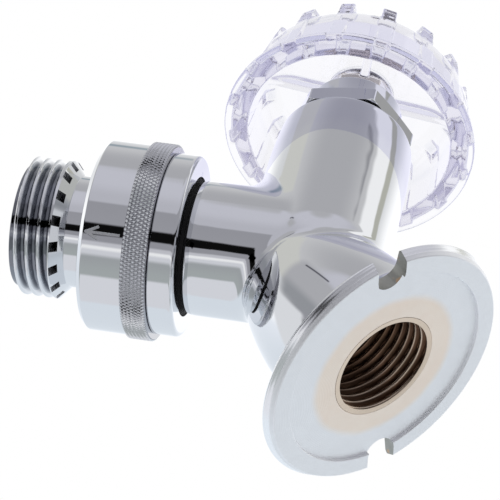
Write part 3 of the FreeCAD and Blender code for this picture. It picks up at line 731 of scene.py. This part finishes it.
SLEEVE_RADIUS = 10.8        # of the bore that the threaded wall sits in
INLET_WAY, OUTLET_WAY, WAY_END = 7.0, 6.6, 24.0
BARREL_END, BARREL_NARROWING, CHAMBER_RADIUS = 35.7, 0.5, 11.1
NECK_RADIUS, ROUND_START, ROUND_LENGTH = 12.3, 20.9, 2.45
COLLAR_RADIUS, COLLAR_START, ARM_END = 13.3, 23.85, 31.55
bell_rim = math.sqrt(BELL_ARC ** 2 - (BELL_CUT - BELL_FOOT) ** 2) - BELL_SINK
inlet_side = [(bell_rim, BELL_CUT), (SLEEVE_RADIUS, BELL_CUT), (SLEEVE_RADIUS, 16.5)]
inlet_side += [(INLET_WAY, 18.6), (INLET_WAY, WAY_END)]
barrel_side = [(BARREL_RADIUS + BARREL_SWELL - BARREL_NARROWING * part ** 2,
                BARREL_CUT + part * (BARREL_END - BARREL_CUT)) for part in np.linspace(0, 0.83, 12)]
barrel_side += [(13.6, BARREL_END, 2.0), (CHAMBER_RADIUS, BARREL_END), (CHAMBER_RADIUS, 31.0)]
arm_side = [(ARM_RADIUS, ARM_CUT)]
arm_side += arc((NECK_RADIUS, ROUND_START), (ARM_RADIUS - NECK_RADIUS, ROUND_LENGTH), 0, 90, 14)
arm_side += [(NECK_RADIUS, COLLAR_START), (COLLAR_RADIUS, COLLAR_START), (COLLAR_RADIUS, 30.75)]
arm_side += [(12.5, ARM_END), (OUTLET_WAY, ARM_END), (OUTLET_WAY, WAY_END)]
for rim, axis, outline in zip(rims, (INLET, STEM, OUTLET), (inlet_side, barrel_side, arm_side)):
    points, shapes = extend(points, shapes, rim, axis, rounded(outline, False, 8))
body_piece = piece("cast_body", points * MM, shapes, cast_chrome, "fixed", ["body_casting"])

# %% [markdown]
# ## Exact light on the casting
# Chrome shows every dent of its mesh. The distance function also knows the true direction at each point of
# the skin, so the mesh takes its normals from there, apart from a hair's breadth at the cuts.

# %% Exact normals
mesh = body_piece.data
corner_normals = np.array([corner.vector for corner in mesh.corner_normals])
corner_points = np.array([mesh.vertices[loop.vertex_index].co for loop in mesh.loops]) / MM
distance, way = body(corner_points)
ON_SKIN, NEAR_CUT = 0.004, 0.01
smooth = np.abs(distance) < ON_SKIN
for (origin, direction), height, outer in cuts:
    past = (corner_points - origin) @ direction - height
    smooth &= (past < -NEAR_CUT) if outer else (past > NEAR_CUT)
corner_normals[smooth] = way[smooth]
mesh.normals_split_custom_set(corner_normals.tolist())
print("corners with exact normals", int(smooth.sum()), "of", len(smooth))


# %% The gap on the arm
GAP_START, GAP_END, GAP_RADIUS = 23.32, 23.9, 13.35


def in_arm_gap(spot):
    radius, height = radius_height(spot, OUTLET)
    return GAP_START < height < GAP_END and radius < GAP_RADIUS


# The gap's faces on the arm are painted near black: painted shade.
dress(body_piece, gap_shadow, in_arm_gap)
print("faces in the gap", sum(face.material_index == 1 for face in mesh.polygons))

# %% [markdown]
# ## Wall flange
# The round flange was turned with the bell. Its back is plated too, but dull, with the rings of the lathe
# left in it, and round the pipe thread the brass was cut bare after plating. Two masks by radius and depth
# part the polished front, the dull back and the pale bare ring. Noise makes the ring's border uneven.

# %% Flange finish
flange_finish, tree, shader, place = new_material("flange_plate", METAL)
from_inlet, depth = about(tree, place, INLET)
ragged = maths(tree, "ADD", from_inlet, maths(tree, "MULTIPLY", noise(tree, place, 160, 3), 0.0008))
bare = maths(tree, "MULTIPLY", step_up(tree, ragged, 0.0166, 0.0146), step_up(tree, depth, 0.0040, 0.0012))
matt_share = maths(tree, "MAXIMUM", step_up(tree, depth, 0.0024, 0.0017), bare)
plate = mixed(tree, matt_share, chrome_tint, (0.96, 0.97, 0.99, 1))
stained = mixed(tree, noise(tree, place, 130, 4), (1.0, 0.91, 0.81, 1), (1.0, 0.87, 0.76, 1))
tinted(tree, shader, bare, plate, stained)
polished = ranged(tree, noise(tree, place, 90, 3), 0.03, 0.07)
matt = ranged(tree, noise(tree, place, 700, 3), 0.42, 0.60)
roughness = maths(tree, "MULTIPLY_ADD", matt_share, maths(tree, "SUBTRACT", matt, polished), polished)
rim = step_up(tree, from_inlet, 0.0249, 0.0251)
roughness = maths(tree, "MULTIPLY_ADD", rim, maths(tree, "SUBTRACT", 0.2, roughness), roughness)
tree.links.new(roughness, shader.inputs["Roughness"])
rings = node(tree, "ShaderNodeTexWave", {"Vector": place, "Scale": 900.0, "Distortion": 0.6, "Detail": 1.0},
             wave_type="RINGS", rings_direction="Y")
bumped(tree, shader, maths(tree, "MULTIPLY", rings.outputs["Fac"], matt_share), 0.000012)
print("flange finish", flange_finish.name)

# %% Flange shape
FLARE_CENTRE, FLARE_RADIUS = (20.9, 8.1), 4.8
flange_outline = [(SLEEVE_RADIUS, BELL_CUT), (bell_rim, BELL_CUT), (BELL_ARC - BELL_SINK, BELL_FOOT)]
flange_outline += arc(FLARE_CENTRE, (FLARE_RADIUS, FLARE_RADIUS), 180, 262, 20)
flange_outline += [(25.2, 2.4, 0.35), (25.7, 1.9, 0.3), (24.5, 0.0, 0.25), (21.0, 0.0, 0.15), (21.0, 0.7),
                   (SLEEVE_RADIUS, 0.7, 0.1)]
flange = turned("wall_flange", flange_outline, INLET, flange_finish, "fixed", ["body_casting"], "chrome")

# %% [markdown]
# ## Notches
# Two slots for a tightening tool were milled across the flange's rim. Cuts like these, and the screw hole,
# the arrow and the vent holes further down, are made with Blender's boolean: it is exact, and the wall of a
# cut can have its own finish. The cutters are closed prisms, and they are removed once the cut is applied.


# %% Cutting
def loose_mesh(name, points, faces):
    """An object made of points in metres, which rides on no body."""
    mesh = bpy.data.meshes.new(name)
    mesh.from_pydata(points.tolist(), [], faces)
    made = bpy.data.objects.new(name, mesh)
    bpy.context.scene.collection.objects.link(made)
    return made


def prism_faces(count):
    """Sides and two ends of a prism, whose two outlines have this many points each."""
    return ring_faces(2, count, False).tolist() + [list(range(count))[::-1], list(range(count, 2 * count))]


def outline_prism(name, outline, turn, axis, low, high):
    """A closed cutter: an outline across an axis, turned in degrees, from one height to another."""
    c, s = math.cos(math.radians(turn)), math.sin(math.radians(turn))
    points = [(x * c - y * s, x * s + y * c, height) for height in (low, high) for x, y in outline]
    return loose_mesh(name, lay_on(axis, np.array(points)), prism_faces(len(outline)))


def carve(target, cutters, finish=None):
    """Cuts cutters out of a piece, applies the result and removes the cutters. The cut may have a finish."""
    if finish:
        target.data.materials.append(finish)
    for cutter in cutters:
        if finish:
            cutter.data.materials.append(target.data.materials[0])
            cutter.data.materials.append(finish)
            for face in cutter.data.polygons:
                face.material_index = 1
        cut = target.modifiers.new("cut", "BOOLEAN")
        cut.operation, cut.solver, cut.object = "DIFFERENCE", "EXACT", cutter
    bpy.context.view_layer.update()
    mesh = bpy.data.meshes.new_from_object(target.evaluated_get(bpy.context.evaluated_depsgraph_get()))
    target.modifiers.clear()
    old, target.data = target.data, mesh
    name = old.name
    bpy.data.meshes.remove(old)
    mesh.name = name
    for cutter in cutters:
        bpy.data.objects.remove(cutter)
    mesh.shade_smooth()
    mesh.set_sharp_from_angle(angle=math.radians(35.0))
    print(target.name, "faces after carving", len(mesh.polygons))


print("a square cutter has", len(prism_faces(4)), "faces")

# %% Notches
NOTCH_TURN, NOTCH_HALF, NOTCH_BOTTOM = 0.5, 3.0, 19.0
notch = [(30.0, -NOTCH_HALF), (30.0, NOTCH_HALF)]
notch += arc((NOTCH_BOTTOM + NOTCH_HALF, 0.0), (NOTCH_HALF, NOTCH_HALF), 90, 270, 13)
carve(flange, [outline_prism("notch_cutter_%d" % k, notch, NOTCH_TURN + 180 * k, INLET, -3.0, 6.5)
               for k in range(2)], cut_metal)

# %% [markdown]
# ## Inlet thread
# The female pipe thread is a real helix. Each ring of points is pushed out where the groove passes, and the
# groove moves one pitch along the axis in one turn. The wall narrows inwards, as a pipe thread's does. The
# brass inside was never plated. Its valleys are painted dark brown as painted shade, and its crests carry a
# painted highlight, light tan near the mouth, that darkens deeper in the bore as painted shade.

# %% Inlet thread finish
brown_brass, tree, shader, place = new_material("brown_brass", METAL)
radius, height = about(tree, place, INLET)
stain = noise(tree, place, 240, 4)
crest = step_up(tree, maths(tree, "MULTIPLY_ADD", height, 0.03, radius), 0.01005, 0.00982)
crest = maths(tree, "MAXIMUM", crest, step_up(tree, height, 0.0010, 0.0008))
# Painted shade: dark brown in the thread's valleys.
valley_shade_tint = mixed(tree, stain, (0.07, 0.04, 0.025, 1), (0.16, 0.09, 0.055, 1))
# Painted highlight on the crests, light tan at the mouth and darker deeper in as painted shade.
crest_highlight_tint = mixed(tree, step_up(tree, height, 0.011, 0.0005), (0.24, 0.15, 0.10, 1), (0.78, 0.64, 0.51, 1))
tinted(tree, shader, crest, valley_shade_tint, crest_highlight_tint)
roughened(tree, shader, stain, 0.38, 0.22)
bumped(tree, shader, noise(tree, place, 1500), 0.00002)
print("thread finish", brown_brass.name)


# %% Inlet thread
def helix_share(count, heights, start, pitch):
    """Place within the thread's turn, 0 to 1, for each ring (row) and each point round it."""
    turn = np.arange(count) / count
    return np.mod((np.asarray(heights)[:, None] - start) / pitch - turn[None], 1.0)


INLET_PITCH, INLET_ROOT, GROOVE_DEPTH, GROOVE_WIDTH = 1.814, 9.3, 0.95, 1.5
WALL_START, WALL_END, MOUTH_EXTRA, TAPER = 0.80, 14.6, 0.45, 0.031
heights = np.arange(WALL_START, WALL_END, 0.10)
share = helix_share(THREAD_POINTS, heights, 0.5, INLET_PITCH)
groove = np.clip(1 - np.abs(share - 0.5) * INLET_PITCH * 2 / GROOVE_WIDTH, 0, 1)
fade = ease((heights - WALL_START) / 0.25) * ease((WALL_END - heights) / 0.25)
radii = INLET_ROOT + GROOVE_DEPTH * groove * fade[:, None]
radii += MOUTH_EXTRA - TAPER * (heights[:, None] - WALL_START)
mouth = rounded([(10.75, 0.72), (10.3, 0.74), (9.75, WALL_START)], False)
foot = np.array([(INLET_ROOT, WALL_END), (8.0, 15.6), (8.0, 16.3), (10.75, 16.3)])


def stacked(first, radii, heights, last, count=THREAD_POINTS):
    """Rings of a wall between two plain outlines: all radii, one row per ring, and all heights."""
    rows = [np.repeat(first[:, :1], count, 1), radii, np.repeat(last[:, :1], count, 1)]
    return np.concatenate(rows), np.concatenate([first[:, 1], heights, last[:, 1]])


all_radii, all_heights = stacked(mouth, radii[1:], heights[1:], foot)
ringed("inlet_thread", all_radii, all_heights, INLET, THREAD_POINTS, brown_brass, "fixed", ["body_casting"],
       sharp=60.0)

# %% [markdown]
# ## Bonnet nut
# A hexagon with turned chamfers and a round collar. Its rings follow the smaller of two radii: the hexagon's
# at that turn, with slightly rounded corners, and the chamfer's at that height. That is just what the lathe
# leaves of a hexagonal bar.


# %% Bonnet nut
def hexagon_radius(turn, apothem=11.5, rounding=0.5):
    """Radius of a hexagon with rounded corners, by turn from a corner in radians."""
    fold = np.abs(np.mod(turn + math.pi / 6, math.pi / 3) - math.pi / 6)
    flat = apothem / np.cos(math.pi / 6 - fold)
    centre = (apothem - rounding) / math.cos(math.pi / 6)
    arc = centre * np.cos(fold) + np.sqrt(np.maximum(rounding ** 2 - (centre * np.sin(fold)) ** 2, 0))
    near_corner = centre * np.sin(math.pi / 6 - fold) > 0
    limit = math.atan2(rounding * math.sin(math.pi / 6), centre + rounding * math.cos(math.pi / 6))
    return np.where(near_corner & (fold < limit), arc, flat)


NUT_TURN, HEXAGON_START, NO_LIMIT = -22.3, 37.1, 99
hexagon = hexagon_radius(np.arange(NUT_POINTS) * 2 * math.pi / NUT_POINTS + math.radians(NUT_TURN))
nut_outline = rounded([
    (4.85, 32.65), (10.95, 32.65), (10.95, 36.7), (11.45, 36.7, 0.1), (11.45, 37.2), (12.6, 37.2, 0.2),
    (13.35, 37.55, 0.2), (13.35, 40.6, 0.25), (11.2, 41.1, 0.15), (10.5, 41.1), (10.45, 41.3),
    (9.85, 47.3, 0.6), (6.4, 47.3, 0.15), (6.0, 46.9), (4.85, 46.9)])
nut_rings = []
for first, second in zip(nut_outline, np.roll(nut_outline, -1, 0)):
    # The chamfers cross the hexagon at a slant, so they need rings close together.
    parts = max(1, int(abs(second[0] - first[0]) / 0.15)) if max(first[0], second[0]) > 11.0 else 1
    nut_rings += [first + (second - first) * part / parts for part in range(parts)]
nut_rings = np.array(nut_rings)
limit = np.where(nut_rings[:, 1:] > HEXAGON_START, hexagon[None], NO_LIMIT)
nut_radii = np.minimum(np.repeat(nut_rings[:, :1], NUT_POINTS, 1), limit)
ringed("bonnet_nut_turned", nut_radii, nut_rings[:, 1], STEM, NUT_POINTS, chrome, "fixed", ["bonnet_nut"],
       sharp=25.0)

# %% [markdown]
# ## Clear plastic
# The wheel is moulded from clear plastic with a faint lavender tint, which deepens with its thickness. So
# the tint is an absorption inside the volume and not a colour on the skin. Light that chrome mirrors, and
# light that has already bounced a few times, goes straight through the plastic: it would cost much time to
# bend it again, and the chrome would only show a blur of it.

# %% Clear plastic
clear, tree, shader, place = new_material("clear_plastic", {
    "Base Color": grey(1.0), "Transmission Weight": 1.0, "IOR": 1.49, "Specular IOR Level": 0.5})
output = tree.nodes["Material Output"]
haze = node(tree, "ShaderNodeVolumeAbsorption", {"Color": (0.82, 0.81, 0.89, 1), "Density": 60.0})
tree.links.new(haze.outputs[0], output.inputs["Volume"])
path = node(tree, "ShaderNodeLightPath")
outside = maths(tree, "LESS_THAN", maths(tree, "MODULO", path.outputs["Transmission Depth"], 2.0), 0.5)
from_metal = maths(tree, "MULTIPLY", path.outputs["Is Glossy Ray"], outside)
tired = maths(tree, "GREATER_THAN", path.outputs["Ray Depth"], 3.5)
pass_tint = mixed(tree, from_metal, (0.95, 0.95, 0.97, 1), (0.90, 0.90, 0.95, 1))
straight = node(tree, "ShaderNodeBsdfTransparent", {"Color": pass_tint})
surface = node(tree, "ShaderNodeMixShader", {
    0: maths(tree, "MAXIMUM", tired, from_metal), 1: shader.outputs[0], 2: straight.outputs[0]})
tree.links.new(surface.outputs[0], output.inputs["Surface"])
roughened(tree, shader, noise(tree, place, 60), 0.0, 0.05)
bumped(tree, shader, noise(tree, place, 70), 0.00003)
print("wheel finish", clear.name)

# %% [markdown]
# ## Wheel handle
# The wheel is a cup with a rim, sixteen grip ribs, a hub and four thin spokes under its plate. A mould
# leaves every edge soft, and clear plastic shows each of those edges twice. Distances suit it well, because
# all its parts melt into one closed skin with no inner walls, which would show.


# %% Wheel shape
def melt(first, second, width):
    """Joins two distances with a soft hollow."""
    near = np.maximum(width - np.abs(first - second), 0) / width
    return np.minimum(first, second) - near ** 3 * width / 6


def both(first, second, rounding=0.0):
    """Where two shapes overlap, with the edge rounded."""
    outer = np.hypot(np.maximum(first + rounding, 0), np.maximum(second + rounding, 0))
    return np.minimum(-rounding, np.maximum(first, second)) + outer


def with_slope(distance, reach=0.01, whole_grid=400000):
    """Adds the direction of steepest rise to a plain distance, near its surface. A whole grid of points
    needs none, and is left without."""
    def shape(points):
        value, way = distance(points), np.zeros_like(points)
        near = np.abs(value) < 0.5
        if len(points) < whole_grid:
            for k in range(3):
                shift = np.eye(3)[k] * reach
                way[near, k] = distance(points[near] + shift) - distance(points[near] - shift)
            way /= np.maximum(np.linalg.norm(way, axis=1, keepdims=True), 1e-9)
        return value, way
    return shape


def folded(x, y, count, start):
    """Way out and to the side, as if all of a ring of equal parts lay on the first one."""
    turn = 2 * math.pi / count
    fold = np.mod(np.arctan2(y, x) - math.radians(start) + turn / 2, turn) - turn / 2
    return np.hypot(x, y) * np.cos(fold), np.hypot(x, y) * np.sin(fold)


print("two walls 0.2 mm apart melt to", round(float(melt(np.array([0.0]), np.array([0.2]), 0.6)[0]), 3), "mm")

# %% Wheel
CUP_RADIUS, CUP_LEVEL, CUP_NARROWING, CUP_ROUNDING = 24.2, 40.0, 1.2, 9.5
WHEEL_FOOT, WHEEL_TOP, RIM_RADIUS, RIM_LEVEL, RIM_HALF = 38.8, 57.0, 25.9, 39.4, 0.6
RIBS, RIB_TURN, RIB_RADIUS, RIB_HALF, RIB_ROOT, RIB_END = 16, 14.0, 25.2, 1.5, 19.0, 55.4
CUP_COSINE, RIB_COSINE, RIB_SINE = 0.9975, 0.984, 0.178     # of the slants of the cup's wall and of the ribs
BORE_RADIUS, BORE_NARROWING, BORE_ROUNDING, PLATE_FOOT = 20.95, 0.75, 6.5, 54.5
HUB_RADIUS, HUB_FOOT, UNDER_TOP, UNDER_INSET = 7.0, 48.6, 55.0, 0.8
SPOKES, SPOKE_TURN, SPOKE_HALF, SPOKE_FOOT = 4, 8.0, 0.8, 51.5
SOCKET_HALF, SOCKET_RADIUS, SCREW_RADIUS, RECESS_RADIUS, RECESS_FOOT = 3.55, 4.8, 2.05, 4.2, 55.5
EDGE, HOLLOW = 0.3, 0.6     # roundings that the mould leaves on edges and in inner corners


def handle_distance(points):
    """Distance from the wheel, in the stem's own millimetres."""
    x, y, h = points.T
    radius = np.hypot(x, y)
    cup_radius = CUP_RADIUS - CUP_NARROWING * (h - CUP_LEVEL) / (WHEEL_TOP - CUP_LEVEL)
    cup = both((radius - cup_radius) * CUP_COSINE, h - WHEEL_TOP, CUP_ROUNDING)
    rim = both(radius - RIM_RADIUS, np.abs(h - RIM_LEVEL) - RIM_HALF, EDGE)
    out, side = folded(x, y, RIBS, RIB_TURN)
    rib_back = (out - RIB_RADIUS) * RIB_COSINE + (h - RIM_LEVEL) * RIB_SINE
    rib = both(both(rib_back, h - RIB_END, 0.5), np.abs(side) - RIB_HALF, EDGE)
    rib = np.maximum(rib, RIB_ROOT - out)
    outer = both(melt(melt(cup, rim, HOLLOW), rib, 0.5), WHEEL_FOOT - h, EDGE)
    bore_radius = BORE_RADIUS - BORE_NARROWING * (h - WHEEL_FOOT) / (PLATE_FOOT - WHEEL_FOOT)
    bore = both(radius - bore_radius, h - PLATE_FOOT, BORE_ROUNDING)
    shell = both(outer, -bore, EDGE)
    hub = both(radius - HUB_RADIUS, HUB_FOOT - h, 0.4)
    out, side = folded(x, y, SPOKES, SPOKE_TURN)
    spoke = np.maximum(both(np.abs(side) - SPOKE_HALF, SPOKE_FOOT - h, EDGE), -out)
    under = np.maximum(melt(hub, spoke, HOLLOW), h - UNDER_TOP)
    solid = melt(shell, np.maximum(under, outer + UNDER_INSET), HOLLOW)
    socket = np.maximum(np.maximum(np.abs(x), np.abs(y)) - SOCKET_HALF, radius - SOCKET_RADIUS)
    socket = np.maximum(socket, h - PLATE_FOOT)
    recess = both(radius - RECESS_RADIUS, RECESS_FOOT - h, 0.1)
    return both(both(solid, -socket, 0.1), -np.minimum(radius - SCREW_RADIUS, recess), 0.15)


wheel_points, wheel_faces = skin_of(
    with_slope(handle_distance), (-26.4, -26.4, 38.2), (26.4, 26.4, 57.6), 0.33)
piece("wheel_handle", lay_on(STEM, wheel_points), wheel_faces, clear, "spindle", ["handle"],
      sharp=180.0)

# %% [markdown]
# ## Vacuum breaker
# Three turned rings sit on the outlet arm: a smooth inlet ring, a knurled grip band and a smooth housing.
# The smooth ones are spun like the flange. The set screw that keeps them on the arm goes into the inlet ring
# from the side that the photograph doesn't show. The ring's mouth gets the same painted shade as the gap on
# the arm.

# %% Inlet ring
ring = turned("breaker_ring", [
    (13.35, 23.75, 0.2), (17.6, 23.75, 0.9), (17.6, 28.70, 0.2), (16.2, 28.70), (16.2, 36.95), (4.6, 36.95),
    (4.6, 34.45), (13.35, 34.45)], OUTLET, turned_chrome, "fixed", ["breaker_inlet"], "chrome")
SET_SCREW_HEIGHT, SET_SCREW_RADIUS, HOLE_START, HOLE_END, HOLE_POINTS = 26.2, 2.05, 15.0, 19.0, 24
screw_axis = (OUTLET[0] + OUTLET[1] * SET_SCREW_HEIGHT, np.array([-1.0, 0.0, 0.0]))


def disc_outline(radius, count):
    return [(radius * math.cos(a), radius * math.sin(a)) for a in np.arange(count) * 2 * math.pi / count]


def beside(axis, points):
    """Lays points drawn about Z on an axis that runs along X, where lay_on has nothing to go by."""
    origin, way = axis
    first, second = OUTLET[1], np.cross(way, OUTLET[1])
    return (origin + points[:, :1] * first + points[:, 1:2] * second + points[:, 2:] * way) * MM


disc = disc_outline(SET_SCREW_RADIUS, HOLE_POINTS)
hole = np.array([(x, y, height) for height in (HOLE_START, HOLE_END) for x, y in disc])
carve(ring, [loose_mesh("screw_hole_cutter", beside(screw_axis, hole), prism_faces(HOLE_POINTS))])

MOUTH_RADIUS, MOUTH_END = 13.7, 25.5


def in_ring_mouth(spot):
    radius, height = radius_height(spot, OUTLET)
    return radius < MOUTH_RADIUS and height < MOUTH_END


# The ring's mouth is painted near black: painted shade.
dress(ring, gap_shadow, in_ring_mouth)

# %% Housing
HOUSING_RADIUS = 18.5
housing = turned("breaker_housing_smooth", [
    (18.2, 33.45), (HOUSING_RADIUS, 33.45), (HOUSING_RADIUS, 41.25, 0.4), (17.6, 42.15, 0.4),
    (10.95, 42.15, 0.15), (10.95, 41.0), (16.25, 41.0), (16.25, 33.45)],
    OUTLET, turned_chrome, "fixed", ["breaker_housing"], "chrome")

# %% [markdown]
# ## Knurl
# A diamond knurl is two sets of slanted grooves pressed into a band. A bump in the material would stay flat
# at the band's edge, so the diamonds are real: each point's radius is lifted by how far it is from the
# nearest groove, and the pattern fades at the chamfers.

# %% Knurl
KNURLS, KNURL_MIDDLE, KNURL_SLANT = 150, 31.15, 1.4
KNURL_RADIUS, KNURL_STEP, KNURL_DEPTH, BAND_BORE = 18.70, 0.05, 0.40, 16.3
BAND_HALF, BAND_CHAMFER = 2.4, 0.3
FLAT_TIPS = 1.35        # lifts the diamonds past their full height, which cuts their tips flat
band_points = KNURLS * 8
knurl_heights = np.concatenate([[28.75, 28.8], np.linspace(28.95, 33.35, 27), [33.5, 33.55]])
turns = np.arange(band_points)[None] / band_points * KNURLS
lean = (knurl_heights[:, None] - KNURL_MIDDLE) / KNURL_SLANT
grooves = [1 - np.abs(np.mod(turns + way * lean, 1.0) - 0.5) * 2 for way in (1, -1)]
diamond = np.clip(np.minimum(*grooves) * FLAT_TIPS, 0, 1)
edge = ease((BAND_HALF - np.abs(knurl_heights - KNURL_MIDDLE)) / BAND_CHAMFER)[:, None]
knurl_radii = KNURL_RADIUS + KNURL_STEP * edge + KNURL_DEPTH * diamond * edge
band_radii = np.concatenate([knurl_radii, np.full((2, band_points), BAND_BORE)])
band_heights = np.concatenate([knurl_heights, [33.55, 28.75]])
ringed("knurled_band", band_radii, band_heights, OUTLET, band_points, knurled_chrome, "fixed",
       ["breaker_housing"], sharp=60.0)

# %% [markdown]
# ## Flow arrow
# An arrow on the housing tells which way the water goes. A picture laid on the chrome would catch no light
# at its edges, so the arrow is a real groove with two barbs, cut into the metal. It has the satin finish of
# the vent holes, so that it stays pale where the chrome round it mirrors the tent's dark slot.


# %% Flow arrow
def groove_cutter(name, start, end, width, depth):
    """A bar that cuts a groove between two points on the housing, each an arc length and a height."""
    start, end = np.array(start, float), np.array(end, float)
    way = (end - start) / np.linalg.norm(end - start)
    side = np.array([-way[1], way[0]]) * width / 2
    points = []
    for radius in (HOUSING_RADIUS - depth, HOUSING_RADIUS + 1.0):
        for arc, height in (start - side, end - side, end + side, start + side):
            angle = math.radians(ARROW_TURN) + arc / HOUSING_RADIUS
            points.append((radius * math.cos(angle), radius * math.sin(angle), height))
    return loose_mesh(name, lay_on(OUTLET, np.array(points)), prism_faces(4))


ARROW_TURN, ARROW_WIDTH, ARROW_DEPTH = -47.4, 0.56, 0.26
strokes = [((0, 34.2), (0, 40.7)), ((1.2, 38.3), (-0.12, 40.9)), ((-1.2, 38.3), (0.12, 40.9))]
carve(housing, [groove_cutter("arrow_%d" % k, start, end, ARROW_WIDTH, ARROW_DEPTH)
                for k, (start, end) in enumerate(strokes)], satin)

# %% [markdown]
# ## Outlet nozzle
# The nozzle has a plain neck, a cone with sixteen vent holes and the male hose thread. Its rings of points
# carry the thread, as the inlet's do, and the holes are cut afterwards. The thread's crests are round and its
# valleys wide, as a hose thread's are, and it runs out softly at both ends.

# %% Outlet nozzle
HOSE_PITCH, HOSE_ROOT, HOSE_CREST, CREST_WIDTH = 2.209, 12.0, 13.5, 0.72
HOSE_START, HOSE_END, NOZZLE_BORE, NOZZLE_TIP, SHOULDER = 49.0, 56.45, 8.0, 56.977, 48.75
heights = np.arange(HOSE_START, HOSE_END, 0.1)
share = helix_share(THREAD_POINTS, heights, HOSE_START + 0.15 - HOSE_PITCH / 2, HOSE_PITCH)
crest = ease(1.15 - np.abs(share - 0.5) * 2 / CREST_WIDTH)
start_share = ease((heights[:, None] - (HOSE_START - 0.1)) / 0.8)
end_share = ease((HOSE_END - 0.05 - heights[:, None]) / 0.5)
thread_radii = HOSE_ROOT + (HOSE_CREST - HOSE_ROOT) * crest * end_share
run_in = HOSE_CREST - (HOSE_CREST - HOSE_ROOT) * start_share
thread_radii = np.where(heights[:, None] < HOSE_START + 0.6, np.maximum(thread_radii, run_in), thread_radii)
neck = rounded([(9.3, 38.25), (15.9, 38.25), (15.9, 40.95), (10.9, 40.95), (10.9, 46.45, 0.3),
                (HOSE_CREST, SHOULDER, 0.2), (HOSE_CREST, HOSE_START)], False)
tip = rounded([(HOSE_ROOT, HOSE_END), (HOSE_ROOT, NOZZLE_TIP, 0.35), (NOZZLE_BORE, NOZZLE_TIP, 0.3),
               (NOZZLE_BORE, 50.55), (9.3, 50.55)], False)
all_radii, all_heights = stacked(neck[:-1], thread_radii, heights, tip[1:])
nozzle = ringed("hose_nozzle", all_radii, all_heights, OUTLET, THREAD_POINTS, turned_chrome, "fixed",
                ["outlet_nozzle"])

# %% Vent holes
VENTS, VENT_TURN, VENT_HALF, VENT_START = 16, 3.1, 1.0, 47.4
vent = [(8.0, -VENT_HALF), (14.5, -VENT_HALF), (14.5, VENT_HALF), (8.0, VENT_HALF)]
carve(nozzle, [outline_prism("vent_%d" % k, vent, VENT_TURN + k * 360 / VENTS, OUTLET, VENT_START, SHOULDER)
               for k in range(VENTS)], satin)

# %% [markdown]
# ## Inner pieces
# The parts inside keep their CAD shapes, which are right as they are. They get their own finishes: turned
# brass, black rubber, dark packing, steel and dull dark plastic. The plastic is dark because the vent holes
# look black in the photograph, so its dark colour is partly painted shade for the inside of the vents.

# %% Inner finishes
brass = simple_finish("turned_brass", METAL, (900, 2, 0.18, 0.34), (3000, 2, 0.00001),
                      (200, 3, (0.66, 0.48, 0.24, 1), (0.80, 0.62, 0.34, 1)))
pale_brass = simple_finish("pale_brass", METAL, (900, 2, 0.20, 0.34), (3000, 2, 0.00001),
                           (200, 3, (0.76, 0.70, 0.60, 1), (0.88, 0.83, 0.74, 1)))
rubber = simple_finish("black_rubber", {"Specular IOR Level": 0.35}, (900, 2, 0.5, 0.75), (4000, 2, 0.00002),
                       (500, 4, (0.018, 0.018, 0.019, 1), (0.045, 0.045, 0.047, 1)))
steel = simple_finish("stainless_steel", METAL, (800, 3, 0.22, 0.38), (3500, 2, 0.00001),
                      (400, 3, (0.52, 0.52, 0.54, 1), (0.64, 0.64, 0.66, 1)))
# Partly painted shade: this dark plastic makes the vent holes read black.
plastic = simple_finish("dark_plastic", {"Specular IOR Level": 0.45}, (600, 3, 0.35, 0.5), (3000, 2, 0.00001),
                        (300, 3, (0.012, 0.012, 0.013, 1), (0.03, 0.03, 0.032, 1)))

packing, tree, shader, place = new_material("graphite_packing", {"Specular IOR Level": 0.4})
wave = node(tree, "ShaderNodeTexWave", {"Vector": place, "Scale": 700.0, "Distortion": 4.0},
            bands_direction="DIAGONAL")
braid = wave.outputs["Fac"]
tinted(tree, shader, braid, (0.03, 0.03, 0.032, 1), (0.10, 0.10, 0.105, 1))
roughened(tree, shader, braid, 0.6, 0.4)
bumped(tree, shader, braid, 0.0001)

finishes = {
    brass: ["stem_bushing", "packing_washer", "washer_holder", "breaker_set_screw"],
    pale_brass: ["stem"],
    rubber: ["bonnet_gasket", "seat_washer", "hose_gasket", "vent_diaphragm", "poppet_seal"],
    packing: ["packing_rings"],
    steel: ["washer_screw", "handle_screw"],
    plastic: ["flow_sleeve", "check_poppet"]}
for finish, names in finishes.items():
    for name in names:
        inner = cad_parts[name]
        inner.data.materials.clear()
        inner.data.materials.append(finish)
print("inner pieces finished", sum(len(names) for names in finishes.values()))

# %% [markdown]
# ## Check spring
# The spring stands between the check disc and its guide, and gets shorter as the disc lifts. A wire that
# only rode on a body would be cut by the disc. So it is wound again here, with closed turns at its ends as
# a real one has.

# %% Check spring
COIL_RADIUS, WIRE_RADIUS, WIRE_SIDES, TURNS, TURN_STEPS = 3.4, 0.25, 12, 7, 60
SPRING_FOOT, SPRING_TOP, LIFTED_FOOT, TURN_GAP = 39.55, 49.45, 41.83, 0.02
first_turn, last_turn = SPRING_FOOT + WIRE_RADIUS, SPRING_TOP - WIRE_RADIUS
closed_rise = 2 * WIRE_RADIUS + TURN_GAP
wire_points = []
for turn in np.linspace(0, TURNS, TURNS * TURN_STEPS + 1):
    rise = np.interp(turn, [0, 1, TURNS - 1, TURNS],
                     [first_turn, first_turn + closed_rise, last_turn - closed_rise, last_turn])
    around = 2 * math.pi * turn
    for x, y in disc_outline(WIRE_RADIUS, WIRE_SIDES):
        reach = COIL_RADIUS + x
        wire_points.append((reach * math.cos(around), reach * math.sin(around), rise + y))
wire_rings = len(wire_points) // WIRE_SIDES
wire_faces = ring_faces(wire_rings, WIRE_SIDES, False).tolist()
wire_faces += [list(range(WIRE_SIDES))[::-1], list(range(len(wire_points) - WIRE_SIDES, len(wire_points)))]
spring = piece("check_spring", lay_on(OUTLET, np.array(wire_points)), wire_faces, steel, "fixed",
               ["poppet_spring"])
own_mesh(spring)
